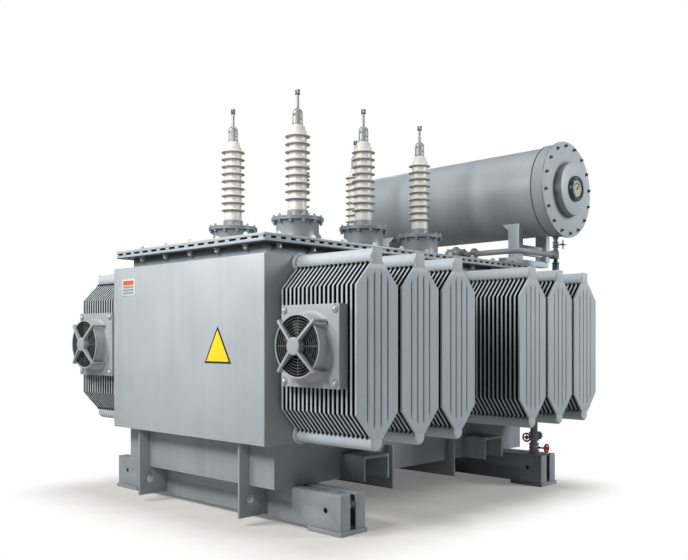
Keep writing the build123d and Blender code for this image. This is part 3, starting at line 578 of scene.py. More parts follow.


# %% [markdown]
# ## The tank and its cover
# The tank is a welded box with a narrower neck that carries the rim. The cover lies on a gasket
# and is bolted down all round, with the nuts under the rim. Small steel stops beside the gasket
# keep the bolts from crushing it, and show as a dashed line between the two plates. The walls could
# be plain boxes, but folded and ground steel has soft edges, and those thin lines along the corners
# are what the eye reads as sheet steel. So each wall block is an outline with rounded corners,
# carried up with rounded rims. Painted shade darkens the paint under the rim, on the joint and on
# the long walls behind the radiators, where little light reaches.

# %% Tank walls and neck
tank_low, tank_high = span("tank")
rim_low, rim_high = span("tank_rim")
cover_low, cover_high = span("tank_cover")
MIDDLE = (tank_low + tank_high) / 2
WALL_EDGE = 0.006
WALL_CORNER = 0.014
NECK_INSET = 0.150
NECK_HEIGHT = 0.110
NECK_CORNER = 0.012
SIDE_SHADE = 0.35
tank_top = tank_high[2] - NECK_HEIGHT
walls = slab(tank_low, (tank_high[0], tank_high[1], tank_top), WALL_EDGE, WALL_CORNER)
size = tank_high - tank_low
neck_side = rounded(size[0] - 2 * NECK_INSET, size[1] - 2 * NECK_INSET, NECK_CORNER)
# Painted shade: the neck grows darker up towards the rim that overhangs it, and both long walls behind the
# radiators are darker by a fixed share.
shade_ramp = [(tank_top - 0.010, 0.0), (tank_top + 0.030, 0.0), (tank_high[2] - 0.055, 0.2), (tank_high[2], 0.9)]
neck_levels, neck_shade = np.array(shade_ramp).T
rings = [np.column_stack([neck_side, np.full(len(neck_side), level)]) for level in neck_levels]
neck = skin(np.stack(rings)).at((MIDDLE[0], MIDDLE[1], 0))
on_side = abs(abs(walls.points[:, 1] - MIDDLE[1]) - size[1] / 2) < 0.002
recess = np.concatenate([SIDE_SHADE * on_side, np.repeat(neck_shade, len(neck_side))])
piece("tank_walls", walls + neck, tank_paint, nodes=["tank"], recess=recess)

# %% Rim, gasket and cover
gasket_low, gasket_high = span("tank_gasket")
print("levels of the joint", rim_low[2], rim_high[2], gasket_high[2], cover_high[2])
JOINT_EDGE = 0.007
RIM_EDGE = 0.009
RIM_CORNER = 0.012
COVER_EDGE = 0.004
COVER_CORNER = 0.010
FACE = 0.003
rim = slab(rim_low, rim_high, RIM_EDGE, RIM_CORNER, top=JOINT_EDGE)
cover = slab(cover_low, cover_high, JOINT_EDGE, COVER_CORNER, top=COVER_EDGE)
rim_z, cover_z = rim.points[:, 2], cover.points[:, 2]
# Painted shade on the joint: the rim's top and bottom faces and the cover's underside are darkened, so the
# gap and the rim's underside look dark.
rim_shade = np.where((rim_z < rim_low[2] + FACE) | (rim_z > rim_high[2] - FACE), 1.0, 0.0)
cover_shade = np.where(cover_z < cover_low[2] + FACE, 1.0, 0.0)
gasket = slab(gasket_low, gasket_high, 0.002)
piece("bolting_rim", rim, tank_paint, nodes=["tank_rim"], recess=rim_shade)
piece("cover_gasket", gasket, gasket_rubber, nodes=["tank_gasket"])
piece("cover_plate", cover, tank_paint, nodes=["tank_cover"], recess=cover_shade)

# %% Steel stops beside the gasket
SIDE_STOP_PITCH = 0.120
END_STOP_PITCH = 0.160
STOP_LENGTH = 0.060
STOP_WIDTH = 0.012
STOP_PROUD = 0.006
STOP_INSET = 0.008
FIRST_STOP, LAST_STOP = 0.050, 0.040
stop_side = rounded(STOP_LENGTH, STOP_WIDTH, 0.001, 1)
stop = plate(stop_side, gasket_low[2] - STOP_PROUD, gasket_high[2] + STOP_PROUD, 0.0005, 1)
stop_x = np.arange(rim_low[0] + FIRST_STOP, rim_high[0] - LAST_STOP, SIDE_STOP_PITCH)
stop_y = np.arange(rim_low[1] + FIRST_STOP, rim_high[1] - LAST_STOP, END_STOP_PITCH)
along = [(x, y, 0) for y in (rim_low[1] + STOP_INSET, rim_high[1] - STOP_INSET) for x in stop_x]
aside = [(x, y, 0) for x in (rim_low[0] + STOP_INSET, rim_high[0] - STOP_INSET) for y in stop_y]
stops = stop.at(*along) + stop.turned((0, 1, 0), (0, 0, 1)).at(*aside)
piece("gasket_stops", stops, tank_paint)

# %% Cover bolts and the nuts under the rim
END_BOLT_PITCH, END_BOLTS = 0.428, 5
SIDE_BOLT_PITCH, SIDE_BOLTS = 0.434, 10
BOLT_INSET = 0.110
COVER_BOLT = 0.046
NUT_SHARE = 1.15
across_y = END_BOLT_PITCH * (np.arange(END_BOLTS) - (END_BOLTS - 1) / 2)
along_x = MIDDLE[0] + SIDE_BOLT_PITCH * (np.arange(SIDE_BOLTS) - (SIDE_BOLTS - 1) / 2)
ends = [(x, y) for x in (tank_low[0] + BOLT_INSET, tank_high[0] - BOLT_INSET) for y in across_y]
sides = [(x, y) for y in (tank_low[1] + BOLT_INSET, tank_high[1] - BOLT_INSET) for x in along_x]
heads = bolt(COVER_BOLT).at(*[(x, y, cover_high[2]) for x, y in ends + sides])
hanging = bolt(NUT_SHARE * COVER_BOLT).turned((1, 0, 0), (0, 0, -1))
nuts = hanging.at(*[(x, y, rim_low[2]) for x, y in ends + sides])
piece("cover_bolts", heads + nuts, zinc)

# %% [markdown]
# ## The radiators
# A radiator is a row of pressed steel panels between two collector pipes. Each panel is two thin
# sheets welded at their rims, pressed into upright channels with grooves between them. Extruding
# the outline would give a flat slab. Here the panel is a closed surface instead: at each height a
# ring runs across the front sheet and back along the rear one, its width follows the eight-sided
# outline, and its thickness swells from a thin rim and dips in every groove. Only the outermost
# panels show their faces, so only they get the fine grid. Every point also carries how deep it lies
# between the panels or in a groove, and the paint gets darker with that number: painted shade,
# where little light reaches.

# %% The panel surface
PANEL_COUNT = 18
PANEL_PITCH = 0.052
PANEL_THICKNESS = 0.022
RIM_SHARE = 0.86
RIM_WIDTH = 0.007
RIM_HEIGHT = 0.012
COLLECTOR_RADIUS = 0.072
FLAT_WIDTH = 0.170
GROOVE_PITCH = 0.085
GROOVE_WIDTH = 0.0075
GROOVE_DEPTH = 0.0085
GROOVE_END = 0.085
GROOVE_PLACES = GROOVE_PITCH * (np.arange(4) - 1.5)
GROOVED = 0.150
NARROW = 0.160


def half_width(z, levels, width):
    """Half the panel's width at a height: flat at both ends, full between the shoulders."""
    return np.interp(z, levels, [FLAT_WIDTH / 2, width / 2, width / 2, FLAT_WIDTH / 2])


def grooves(x, z, levels, width):
    """How deep a point lies in a groove, from 0 to 1: the sum of exp(-(d/w)^2) over the distances
    d to the four grooves, faded out where a groove comes near the outline's end."""
    near_end = np.interp(np.abs(x), [FLAT_WIDTH / 2, width / 2], [0, levels[1] - levels[0]])
    room = np.minimum(z - levels[0], levels[3] - z) - near_end
    fade = np.clip((room - 0.7 * GROOVE_END) / (0.4 * GROOVE_END), 0, 1)
    return np.exp(-(((x[..., None] - GROOVE_PLACES) / GROOVE_WIDTH) ** 2)).sum(-1) * fade


def grid_columns(half):
    """x of the fine grid in each row: columns close to every groove, scaled down where the row is
    narrower than the grooved middle, then a few columns out to the rim at x = half."""
    offsets = np.array([-0.017, -0.011, -0.0075, -0.004, 0, 0.004, 0.0075, 0.011, 0.017])
    between = [-GROOVE_PITCH, 0, GROOVE_PITCH]
    inside = np.sort(np.concatenate([(GROOVE_PLACES[:, None] + offsets).ravel(), between]))
    scale = np.clip(half / NARROW, 0, 1)
    middle = GROOVED * scale
    out = middle + (half - middle) * np.array([0, 0.5, 0.85, 0.95, 1])
    return np.concatenate([-out[:, ::-1], inside * scale, out], axis=1)


def panel(width, levels, fine):
    """x runs across to w(z) and y = +-t(x, z): w follows the outline, t is the half thickness.

    The half thickness is the rim's, plus the swell of the sheet, minus the grooves.
    """
    flat_low, shoulder_low, shoulder_high, flat_high = levels
    height = [flat_low, flat_low + RIM_HEIGHT, shoulder_low, shoulder_high, flat_high - RIM_HEIGHT, flat_high]
    if fine:
        ends = GROOVE_END * np.array([0.7, 0.9, 1.1, 1.4, 1.8])
        shoulders = [shoulder_low + 0.08, shoulder_high - 0.08]
        height = np.sort(np.concatenate([height, flat_low + ends, flat_high - ends, shoulders]))
    height = np.asarray(height, float)[:, None]
    half = half_width(height, levels, width)
    coarse = np.array([-1, -0.993, -0.977, -0.93, -0.7, 0, 0.7, 0.93, 0.977, 0.993, 1])
    x = grid_columns(half) if fine else half * coarse
    swell = np.clip((half - np.abs(x)) / RIM_WIDTH, 0, 1)
    thick = PANEL_THICKNESS / 2 * (RIM_SHARE + (1 - RIM_SHARE) * np.sin(swell * np.pi / 2))
    thick = thick * np.where((height == height[0]) | (height == height[-1]), 0.5, 1.0)
    z = np.broadcast_to(height, x.shape)
    if fine:
        thick = thick - GROOVE_DEPTH * grooves(x, z, levels, width)
    front = np.stack([x, -thick, z], axis=-1)
    rear = np.stack([x, thick, z], axis=-1)[:, ::-1]
    return skin(np.concatenate([front, rear], axis=1))


# %% Collector pipes with their caps and bolted flanges
PIPE_FLANGE = 0.092
PIPE_FLANGE_THICK = 0.016
PIPE_BOLT_RING = 0.082
FIRST_FLANGE, SECOND_FLANGE = 0.004, 0.023


def collector(start, end, height, dome):
    """A pipe along y from start to end: a flange pair at the tank, and outside a cap whose edge
    runs in over a quarter ellipse: radius R - d + d cos t, height end - d + d sin t."""
    turn = np.linspace(0, np.pi / 2, 5)
    edge = COLLECTOR_RADIUS - dome + dome * np.cos(turn)
    cap = np.stack([edge, end - dome + dome * np.sin(turn)], axis=-1)
    body = lathe(np.concatenate([[(COLLECTOR_RADIUS, start)], cap]), 32)
    for foot in (start + FIRST_FLANGE, start + SECOND_FLANGE):
        body = body + drum(PIPE_FLANGE, foot, foot + PIPE_FLANGE_THICK, 0.002, 32)
    bolts = bolt_circle(0.016, PIPE_BOLT_RING, 8, start + SECOND_FLANGE + PIPE_FLANGE_THICK, start=0.3)
    return (body + bolts).turned((1, 0, 0), (0, 1, 0)).at((0, 0, height))


# %% Radiators
PIPE_INSET = 0.075
PANEL_FOOT, LOW_SHOULDER = 0.050, 0.244
HIGH_SHOULDER, PANEL_HEAD = 0.248, 0.064
LAST_PANEL = 0.031
GROOVE_SHADE = 0.62


def radiator(node):
    """All panels of one radiator, placed by the box of its solid, then the painted shade of each point,
    and the two collectors, the upper one with a square plate on its end."""
    low, high = span(node)
    near = high[1] < MIDDLE[1]
    inner, outer = (-high[1], -low[1]) if near else (low[1], high[1])
    lower, upper = low[2] + PIPE_INSET, high[2] - PIPE_INSET
    levels = [lower + PANEL_FOOT, lower + LOW_SHOULDER, upper - HIGH_SHOULDER, upper - PANEL_HEAD]
    first = outer - LAST_PANEL - (PANEL_COUNT - 1) * PANEL_PITCH
    places = first + PANEL_PITCH * np.arange(PANEL_COUNT)
    width = high[0] - low[0]
    plain = panel(width, levels, fine=False).at(*[(0, y, 0) for y in places[1:-1]])
    fine = panel(width, levels, fine=True).at(*[(0, y, 0) for y in places[[0, -1]]])
    neck_low = slab((-0.08, -0.006, levels[0] - 0.02), (0.08, 0.006, levels[0] + 0.01), 0.002)
    neck_high = slab((-0.08, -0.006, levels[3] - 0.01), (0.08, 0.006, levels[3] + 0.02), 0.002)
    whole = plain + fine + (neck_low + neck_high).at(*[(0, y, 0) for y in places])
    cap = places[-1] + 0.004
    end_plate = slab((-0.062, cap - 0.012, upper - 0.056), (0.062, cap + 0.003, upper + 0.067), 0.003)
    pipes = collector(inner, cap - 0.006, upper - 0.004, 0.003) + end_plate
    pipes = pipes + collector(inner, cap, lower, 0.020)
    x, y, z = whole.points.T
    half = half_width(z, levels, width)
    # Painted shade: full deep between the panels, none at their edges and on the open outer faces, and the
    # grooves darkened as well.
    open_air = (y > places[-1] + 0.001) | (y < places[0] - 0.001)
    recess = np.clip((half - np.abs(x) - 0.001) / 0.005, 0, 1) * ~open_air
    recess = np.maximum(recess, GROOVE_SHADE * grooves(x, z, levels, width))
    if near:
        whole, pipes = whole.mirrored(1), pipes.mirrored(1)
    place = ((low[0] + high[0]) / 2, 0, 0)
    return whole.at(place), recess, pipes.at(place)


for side in ("near", "far"):
    for number in range(1, 7):
        node = f"radiator_{side}_{number}"
        shape, recess, pipes = radiator(node)
        piece(f"panels_{side}_{number}", shape, panel_paint, nodes=[node], recess=recess)
        piece(f"collectors_{side}_{number}", pipes, pipe_paint)

# %% [markdown]
# ## The fans
# Each fan is a square light box on the side of the panel stack, a deep ring that guides the air,
# and a motor hung in the ring's mouth on four bent straps. Wire hoops behind the straps keep
# fingers out. A black sleeve lines the bore: it is painted shade, dark as if no light reached in
# there. The box has to turn from a square into a circle: both are read as a radius for each angle,
# r = h / max(|cos a|, |sin a|) for the square, so one closed loop of rings makes box, flare, ring
# and the bore through them.

# %% Where the fans stand
fans = [joint for joint in frame["joints"] if joint["name"].startswith("fan_")]
boxes_low, boxes_high = span("fan_boxes")
FAN_DEPTH = 0.241
BOX_DEPTH = 0.095
BOX_HALF = 0.350
BORE = 0.255
RING_WALL = 0.012
STRAP_RISE = 0.050
FLARE = 0.045
fan_places, fan_axes = [], []
for joint in fans:
    axis = np.array(joint["axis"], float)
    mount_x = boxes_low[0] + FAN_DEPTH if axis[0] < 0 else boxes_high[0] - FAN_DEPTH
    fan_places.append(np.array([mount_x, joint["pos_m"][1], joint["pos_m"][2]]))
    fan_axes.append(axis)
print("fans at", [place.round(3).tolist() for place in fan_places])


def facing(shape, place, axis):
    """A shape moved to a fan: its z points outwards along the fan's axis and its y points up."""
    return shape.turned(np.cross((0, 0, 1), axis), axis).at(place)


def at_fans(shape):
    """One copy of a shape on each fan."""
    return joined([facing(shape, place, axis) for place, axis in zip(fan_places, fan_axes)])


# %% Boxes with flared rings
def square_to_round():
    """Rings of a square and of circles, one after another: up outside and down the bore."""
    turn = angles(96)
    square = 1 / np.maximum(np.abs(np.cos(turn)), np.abs(np.sin(turn)))
    flare = np.linspace(0, np.pi / 2, 6)
    outer = BORE + RING_WALL
    rings = [(BOX_HALF - 0.006, 0.0, 1), (BOX_HALF, 0.006, 1), (BOX_HALF, BOX_DEPTH - 0.008, 1),
             (BOX_HALF - 0.003, BOX_DEPTH - 0.002, 1), (BOX_HALF - 0.009, BOX_DEPTH, 1)]
    rings += [(outer + FLARE * (1 - np.sin(t)), BOX_DEPTH + FLARE * (1 - np.cos(t)), 0) for t in flare]
    rings += [(outer, FAN_DEPTH - 0.006, 0), (outer - 0.004, FAN_DEPTH, 0), (BORE + 0.003, FAN_DEPTH, 0),
              (BORE, FAN_DEPTH - 0.005, 0), (BORE, 0.0, 0)]
    size, level, is_square = np.array(rings, float).T
    radius = size[:, None] * np.where(is_square[:, None] == 1, square, 1.0)
    height = np.broadcast_to(level[:, None], radius.shape)
    return skin(np.stack([radius * np.cos(turn), radius * np.sin(turn), height], axis=-1), looped=True)


lip = hoop(BORE + RING_WALL - 0.002, 0.006, FAN_DEPTH - 0.006, 64)
piece("fan_housings", at_fans(square_to_round() + lip), fan_paint, nodes=["fan_boxes"])
# Painted shade: a black sleeve lines the bore, so the bore looks dark as if no light reached in.
shade_liner = washer(BORE - 0.004, BORE - 0.0005, 0.002, FAN_DEPTH - 0.008, 64)
piece("fan_liners", at_fans(shade_liner), rotor_paint)

# %% Dome bolts in the corners of the boxes
DOME = 0.022
DOME_HEIGHT = 0.020
DOME_FOOT = 0.004
corner_bolt = BOX_HALF - 0.044
dome_side = [(DOME + 0.008, 0), (DOME + 0.008, DOME_FOOT)]
for turn in np.linspace(0, np.pi / 2, 5):
    dome_side.append((max(DOME * np.cos(turn), 0.001), DOME_FOOT + DOME_HEIGHT * np.sin(turn)))
dome = lathe(dome_side, 16).at(*four_corners(corner_bolt, corner_bolt, BOX_DEPTH))
# Painted shadow: a thin black ring round each dome stands for the dark crescent of shadow at its foot.
shadow_ring = drum(DOME + 0.013, BOX_DEPTH, BOX_DEPTH + 0.002, 0.0005, 20)
shadow_rings = shadow_ring.at(*four_corners(corner_bolt, corner_bolt))
piece("fan_corner_bolts", at_fans(dome), zinc)
piece("fan_corner_seals", at_fans(shadow_rings), gasket_rubber)

# %% Motor, straps and hoops
CAP = FAN_DEPTH + STRAP_RISE
MOTOR_RADIUS = 0.076
STRAP_DROP = 0.028
STRAP_HALF = 0.012
HOOPS = 6
HOOP_PITCH = 0.0245
FIRST_HOOP = 0.088
HOOP_WIRE = 0.0021
motor = lathe([
    (0.018, CAP - 0.162), (0.018, CAP - 0.086), (0.068, CAP - 0.084), (0.074, CAP - 0.078),
    (MOTOR_RADIUS, CAP - 0.070), (MOTOR_RADIUS, CAP - 0.016), (0.073, CAP - 0.007), (0.064, CAP - 0.003),
    (0.045, CAP - 0.001), (0.01, CAP),
], 40)
strap_outer = BORE + RING_WALL + 0.039
strap_inner = strap_outer - 0.022
strap_side = [
    (0.030, CAP - 0.001), (0.030, CAP - 0.049), (BORE - 0.010, FAN_DEPTH - 0.002),
    (strap_inner, FAN_DEPTH - 0.002), (strap_inner, BOX_DEPTH + 0.026), (strap_outer, BOX_DEPTH + 0.010),
    (strap_outer, CAP - STRAP_DROP - 0.006), (strap_outer - 0.008, CAP - STRAP_DROP),
]
strap = plate(strap_side, -STRAP_HALF, STRAP_HALF, 0.002, 1).turned((1, 0, 0), (0, -1, 0))
straps = around(strap, angles(4, np.pi / 4))
hoop_radius = FIRST_HOOP + HOOP_PITCH * np.arange(1, HOOPS + 1)
hoops = joined([hoop(radius, HOOP_WIRE, FAN_DEPTH - 0.012, sides=6) for radius in hoop_radius])
ray_path = [(x, 0, FAN_DEPTH - 0.017) for x in (0.070, 0.170, BORE)]
rays = around(sweep(circle(0.003, 6), ray_path, (0, 1, 0)), angles(4))
piece("fan_motors", at_fans(motor + straps), fan_paint, nodes=["fan_guards"])
piece("fan_wires", at_fans(hoops + rays), wire_paint)

# %% [markdown]
# The rotor's blades are thin twisted wings. Each is a surface of two parameters: one runs out
# along the blade, the other runs round its section, which is a flat oval bent into a shallow arc.
# The section turns from steep at the hub to flatter at the tip, because the tip moves faster.


# %% Rotors
def blade(root=0.066, tip=0.241, sections=9, count=20):
    """Section points (s, t) turned by the blade angle at each radius, s along the chord."""
    share = np.linspace(0, 1, sections)[:, None]
    radius = root + (tip - root) * share
    chord = 0.096 + 0.046 * share
    pitch = np.radians(44 - 18 * share)
    turn = angles(count)
    along = chord / 2 * np.cos(turn)
    camber = 0.006 * (1 - np.cos(turn) ** 2)
    thick = 0.0036 * np.sin(turn) + camber
    y = along * np.cos(pitch) - thick * np.sin(pitch)
    z = along * np.sin(pitch) + thick * np.cos(pitch)
    return skin(np.stack([np.broadcast_to(radius, y.shape), y, z], axis=-1))


BLADES = 7
HUB_TOP = CAP - 0.096
HUB_LENGTH = 0.062
hub_foot = HUB_TOP - HUB_LENGTH
HUB_RADIUS = 0.075
SHAFT_BORE = 0.0183
hub = lathe([
    (SHAFT_BORE, hub_foot), (HUB_RADIUS - 0.005, hub_foot), (HUB_RADIUS, hub_foot + 0.006),
    (HUB_RADIUS, HUB_TOP - 0.010), (HUB_RADIUS - 0.007, HUB_TOP), (SHAFT_BORE, HUB_TOP),
], 40, looped=True)
wings = around(blade(), angles(BLADES))
rotor = hub + wings.at((0, 0, HUB_TOP - HUB_LENGTH / 2))
for joint, place, axis in zip(fans, fan_places, fan_axes):
    name = joint["child"]
    placed = facing(rotor, place, axis)
    piece(name.replace("rotor", "blades"), placed, rotor_paint, body=name, nodes=[name])

# %% [markdown]
# ## The bushings
# A bushing leads a high-voltage conductor through the cover. Outside it is a stack of porcelain
# sheds, thin skirts that droop so that rain drips off, on a straight core. A turned profile is the
# natural way, since the real one is turned too. The profile is computed shed by shed from one
# small set of offsets.

# %% Bushing places and levels
porcelain_low = span("bushing_porcelain_near")[0][2]
feet_low, feet_high = span("bushing_feet")
turret_low, turret_high = span("bushing_turrets")
top_low, top_high = span("bushing_terminals")
FLANGE_RADIUS = 0.270
FLANGE_RING = 0.248
row_y = (turret_high[1] - turret_low[1]) / 2 - FLANGE_RADIUS
column_x = np.linspace(turret_low[0] + FLANGE_RADIUS, turret_high[0] - FLANGE_RADIUS, 3)
near_places = [(x, -row_y, 0) for x in column_x]
far_places = [(x, row_y, 0) for x in column_x]
all_places = near_places + far_places
print("bushing columns at", column_x.round(3))

# %% Turrets, feet and their bolts
TURRET_RADIUS = 0.220
FOOT_RADIUS = 0.108
cover_top = cover_high[2]
turret_top = turret_high[2]
flange = turret_top - 0.020
foot_base = feet_low[2]
foot_bed = foot_base + 0.016
turret = lathe([
    (0.236, cover_top), (0.240, cover_top + 0.004), (0.240, cover_top + 0.012), (0.236, cover_top + 0.016),
    (0.226, cover_top + 0.018), (TURRET_RADIUS, cover_top + 0.026), (TURRET_RADIUS, flange - 0.010),
    (0.226, flange - 0.002), (0.267, flange), (FLANGE_RADIUS, flange + 0.003),
    (FLANGE_RADIUS, turret_top - 0.002), (0.267, turret_top),
], 64)
foot = lathe([
    (0.267, foot_base + 0.001), (FLANGE_RADIUS, foot_base + 0.004), (FLANGE_RADIUS, foot_base + 0.013),
    (0.267, foot_bed), (0.127, foot_base + 0.017), (0.125, foot_base + 0.030), (0.120, foot_base + 0.034),
    (0.110, foot_base + 0.036), (FOOT_RADIUS, foot_base + 0.046), (FOOT_RADIUS, feet_high[2] - 0.004),
    (0.104, feet_high[2]),
], 64)
piece("turrets", turret.at(*all_places), fitting_paint, nodes=["bushing_turrets"])
piece("feet", foot.at(*all_places), fitting_paint, nodes=["bushing_feet"])
ring_bolts = bolt_circle(0.028, FLANGE_RING, 12, foot_bed)
under = bolt(0.034).turned((1, 0, 0), (0, 0, -1))
ring_nuts = under.at(*[(x, y, flange) for x, y in circle(FLANGE_RING, 12)])
foot_bolts = bolt_circle(0.026, 0.150, 8, foot_bed, start=0.2)
turret_bolts = (ring_bolts + ring_nuts + foot_bolts).at(*all_places)
piece("turret_bolts", turret_bolts, fitting_paint)


# %% Porcelain profile
def sheds(low, count=9, pitch=0.081, first=0.116, core=0.0945, rim=0.131):
    """Radius and height of the glazed profile: a collar, then for each shed its underside, its
    round rim, its drooping top and the hollow above it, then the shoulder and the cone; and the
    painted shade of each point."""
    offsets = np.array([
        (core, -0.038), (core, -0.026), (core + 0.001, -0.018), (core + 0.003, -0.013),
        (rim - 0.024, -0.008), (rim - 0.009, -0.006), (rim - 0.004, -0.008), (rim - 0.001, -0.007),
        (rim, -0.003), (rim - 0.003, 0.001), (rim - 0.012, 0.005), (core + 0.008, 0.010),
        (core + 0.002, 0.015), (core, 0.024),
    ])
    # Painted shade under each shed: its underside and the core just below it are darkened, where the shed
    # keeps the light off.
    shed_shade = np.array([0.3, 0.8, 0.95, 1, 1, 1, 1, 0.7, 0.3, 0, 0, 0, 0, 0])
    levels = low + first + pitch * np.arange(count)
    radii = np.broadcast_to(offsets[:, 0], (count, len(offsets)))
    rows = np.stack([radii, levels[:, None] + offsets[:, 1]], axis=-1)
    collar = [(0.094, low), (core, low + 0.004), (core, low + 0.030), (core, low + 0.07)]
    top = levels[-1] + 0.046
    shoulder = [(core, top), (core - 0.003, top + 0.005), (0.080, top + 0.008), (0.078, top + 0.012),
                (0.077, top + 0.050), (0.073, top + 0.055), (0.060, top + 0.056), (0.056, top + 0.060),
                (0.056, top + 0.068), (0.054, top + 0.070)]
    recess = np.concatenate([np.zeros(len(collar)), np.tile(shed_shade, count), np.zeros(len(shoulder))])
    return np.concatenate([collar, rows.reshape(-1, 2), shoulder]), recess


profile, shed_shade = sheds(porcelain_low)
column = lathe(profile, 48)
column_shade = np.tile(np.repeat(shed_shade, 48), 3)
for side, places in (("near", near_places), ("far", far_places)):
    node = f"bushing_porcelain_{side}"
    piece(f"porcelain_{side}", column.at(*places), porcelain, nodes=[node], recess=column_shade)

# %% Terminals
base = top_low[2]
fitting = lathe([
    (0.054, base), (0.056, base + 0.003), (0.056, base + 0.017), (0.056, base + 0.020), (0.053, base + 0.022),
    (0.052, base + 0.135), (0.044, base + 0.155), (0.028, base + 0.170), (0.019, base + 0.171),
    (0.017, base + 0.176), (0.017, base + 0.300), (0.015, base + 0.311),
], 32)
stud = drum(0.007, -0.070, 0.070, 0.002, 12).turned((0, 1, 0), (1, 0, 0))
stud_nut = plate(circle(0.014, 6), 0.046, 0.058, 0.001, 1).turned((0, 1, 0), (1, 0, 0))
cross_stud = stud + stud_nut + stud_nut.mirrored(0)
rods = drum(0.004, base + 0.004, base + 0.130, 0.001, 8) + drum(0.008, base + 0.018, base + 0.026, 0.001, 6)
rods = rods.at(*[(x, y, 0) for x, y in circle(0.054, 4, 0.4)])
crossing = cross_stud.turned((0, 1, 0), (0, 0, 1)).at((0, 0, base + 0.135), (0, 0, base + 0.060))
terminal = fitting + rods + cross_stud.at((0, 0, base + 0.105)) + crossing
clamp = slab((-0.015, -0.022, base + 0.311), (0.015, 0.022, top_high[2]), 0.003)
clamp_bolt = bolt(0.016).turned((0, 0, 1), (0, -1, 0))
clamp_bolts = clamp_bolt.at((0, -0.022, base + 0.325), (0, -0.022, base + 0.350))
piece("terminals", terminal.at(*all_places), aluminium, nodes=["bushing_terminals"])
piece("terminal_clamps", (clamp + clamp_bolts).at(*all_places), dark_steel)

# %% [markdown]
# ## The conservator
# The conservator is a rolled drum that gives the warm oil room to rise. It has a collar with a
# bolted cover at one end and a dished head at the other. A turned surface is again the way, now
# about an axis that lies along y. Every change of radius gets a small chamfer, since a perfectly
# sharp step has no highlight and looks like paper.

# %% Drum, collar, cover and dished head
UNDERSIDE_SHADE = 0.45
SHADE_LINE = 0.35
shell_low, shell_high = span("conservator_shell")
collar_low, collar_high = span("conservator_collar")
lid_low = span("conservator_cover")[0]
gauge_low, gauge_high = span("level_gauge")
AXIS_PLACE = ((shell_low[0] + shell_high[0]) / 2, 0, (shell_low[2] + shell_high[2]) / 2)
DRUM_RADIUS = (shell_high[0] - shell_low[0]) / 2
COLLAR = 0.578
LID = (collar_high[0] - collar_low[0]) / 2


def lying(shape):
    """A shape turned about z laid along the drum's axis, with its z towards the near end."""
    return shape.turned((1, 0, 0), (0, -1, 0)).at(AXIS_PLACE)


def turned_drum(name, node, profile, recess=None, count=96):
    """A profile of (radius, distance towards the near end), laid along the drum's axis.

    The lower part is darkened as painted shade: 0.45 (0.35 - h) / 1.35, with h the height
    over the axis in radii, kept between 0 and 0.45.
    """
    shape = lying(lathe(profile, count))
    height = (shape.points[:, 2] - AXIS_PLACE[2]) / DRUM_RADIUS
    shade_ramp = UNDERSIDE_SHADE * np.clip((SHADE_LINE - height) / (1 + SHADE_LINE), 0, 1)
    told = shade_ramp if recess is None else np.maximum(np.repeat(recess, count), 0.3 * shade_ramp)
    return piece(name, shape, vessel_paint, nodes=[node], recess=told)


near_end, far_end = -shell_low[1], -shell_high[1]
turned_drum("vessel_drum", "conservator_shell", [
    (DRUM_RADIUS - 0.002, far_end), (DRUM_RADIUS, far_end + 0.002), (DRUM_RADIUS, near_end - 0.002),
    (DRUM_RADIUS - 0.002, near_end),
])
SEAM = 0.016
collar_start, collar_end = -collar_high[1], -collar_low[1]
seam_end = collar_start + 0.022 + SEAM
turned_drum("vessel_collar", "conservator_collar", [
    (DRUM_RADIUS, collar_start), (COLLAR - 0.004, collar_start + 0.001), (COLLAR, collar_start + 0.005),
    (COLLAR, collar_start + 0.020), (COLLAR - 0.018, collar_start + 0.022),
    (COLLAR - 0.018, seam_end - 0.002), (COLLAR - 0.002, seam_end), (COLLAR, seam_end + 0.004),
    (COLLAR, collar_end - 0.022),
    (COLLAR + 0.003, collar_end - 0.018), (LID - 0.003, collar_end - 0.017), (LID, collar_end - 0.014),
    (LID, collar_end - 0.004), (LID - 0.009, collar_end - 0.002),
])
BOSS = 0.331
BOSS_HEIGHT = 0.097
lid_face = -lid_low[1] - BOSS_HEIGHT
# Painted shade round the boss: the ring at its foot and its side wall are darkened.
turned_drum("vessel_lid", "conservator_cover", [
    (LID - 0.009, collar_end + 0.001), (LID, collar_end + 0.003), (LID, lid_face - 0.003),
    (LID - 0.003, lid_face), (BOSS + 0.040, lid_face), (BOSS + 0.012, lid_face),
    (BOSS + 0.004, lid_face + 0.003), (BOSS, lid_face + 0.012), (BOSS, lid_face + 0.080),
    (BOSS - 0.005, lid_face + 0.092), (BOSS - 0.016, lid_face + BOSS_HEIGHT),
], recess=[0, 0, 0, 0, 0, 0.5, 0.8, 0.75, 0.5, 0.1, 0])
HEAD_SINK = 0.024
HEAD_BULGE = 0.120
bowl = [(DRUM_RADIUS * np.cos(turn) + 0.002, far_end - HEAD_SINK - HEAD_BULGE * np.sin(turn))
        for turn in np.linspace(np.pi / 2, 0, 10)]
head_rim = [(DRUM_RADIUS, far_end - 0.004), (DRUM_RADIUS - 0.002, far_end)]
turned_drum("vessel_head", "conservator_head", bowl + head_rim)

# %% Bolts of the lid
LID_RING = 0.545
LID_BOLTS = 16
LID_START = 0.1
lid_bolts = lying(bolt_circle(0.034, LID_RING, LID_BOLTS, lid_face + 0.003, LID_START))
piece("vessel_bolts", lid_bolts, dark_steel)
washers = drum(0.027, lid_face, lid_face + 0.004, 0.001, 16)
washers = washers.at(*[(x, y, 0) for x, y in circle(LID_RING, LID_BOLTS, LID_START)])
piece("vessel_washers", lying(washers), zinc)

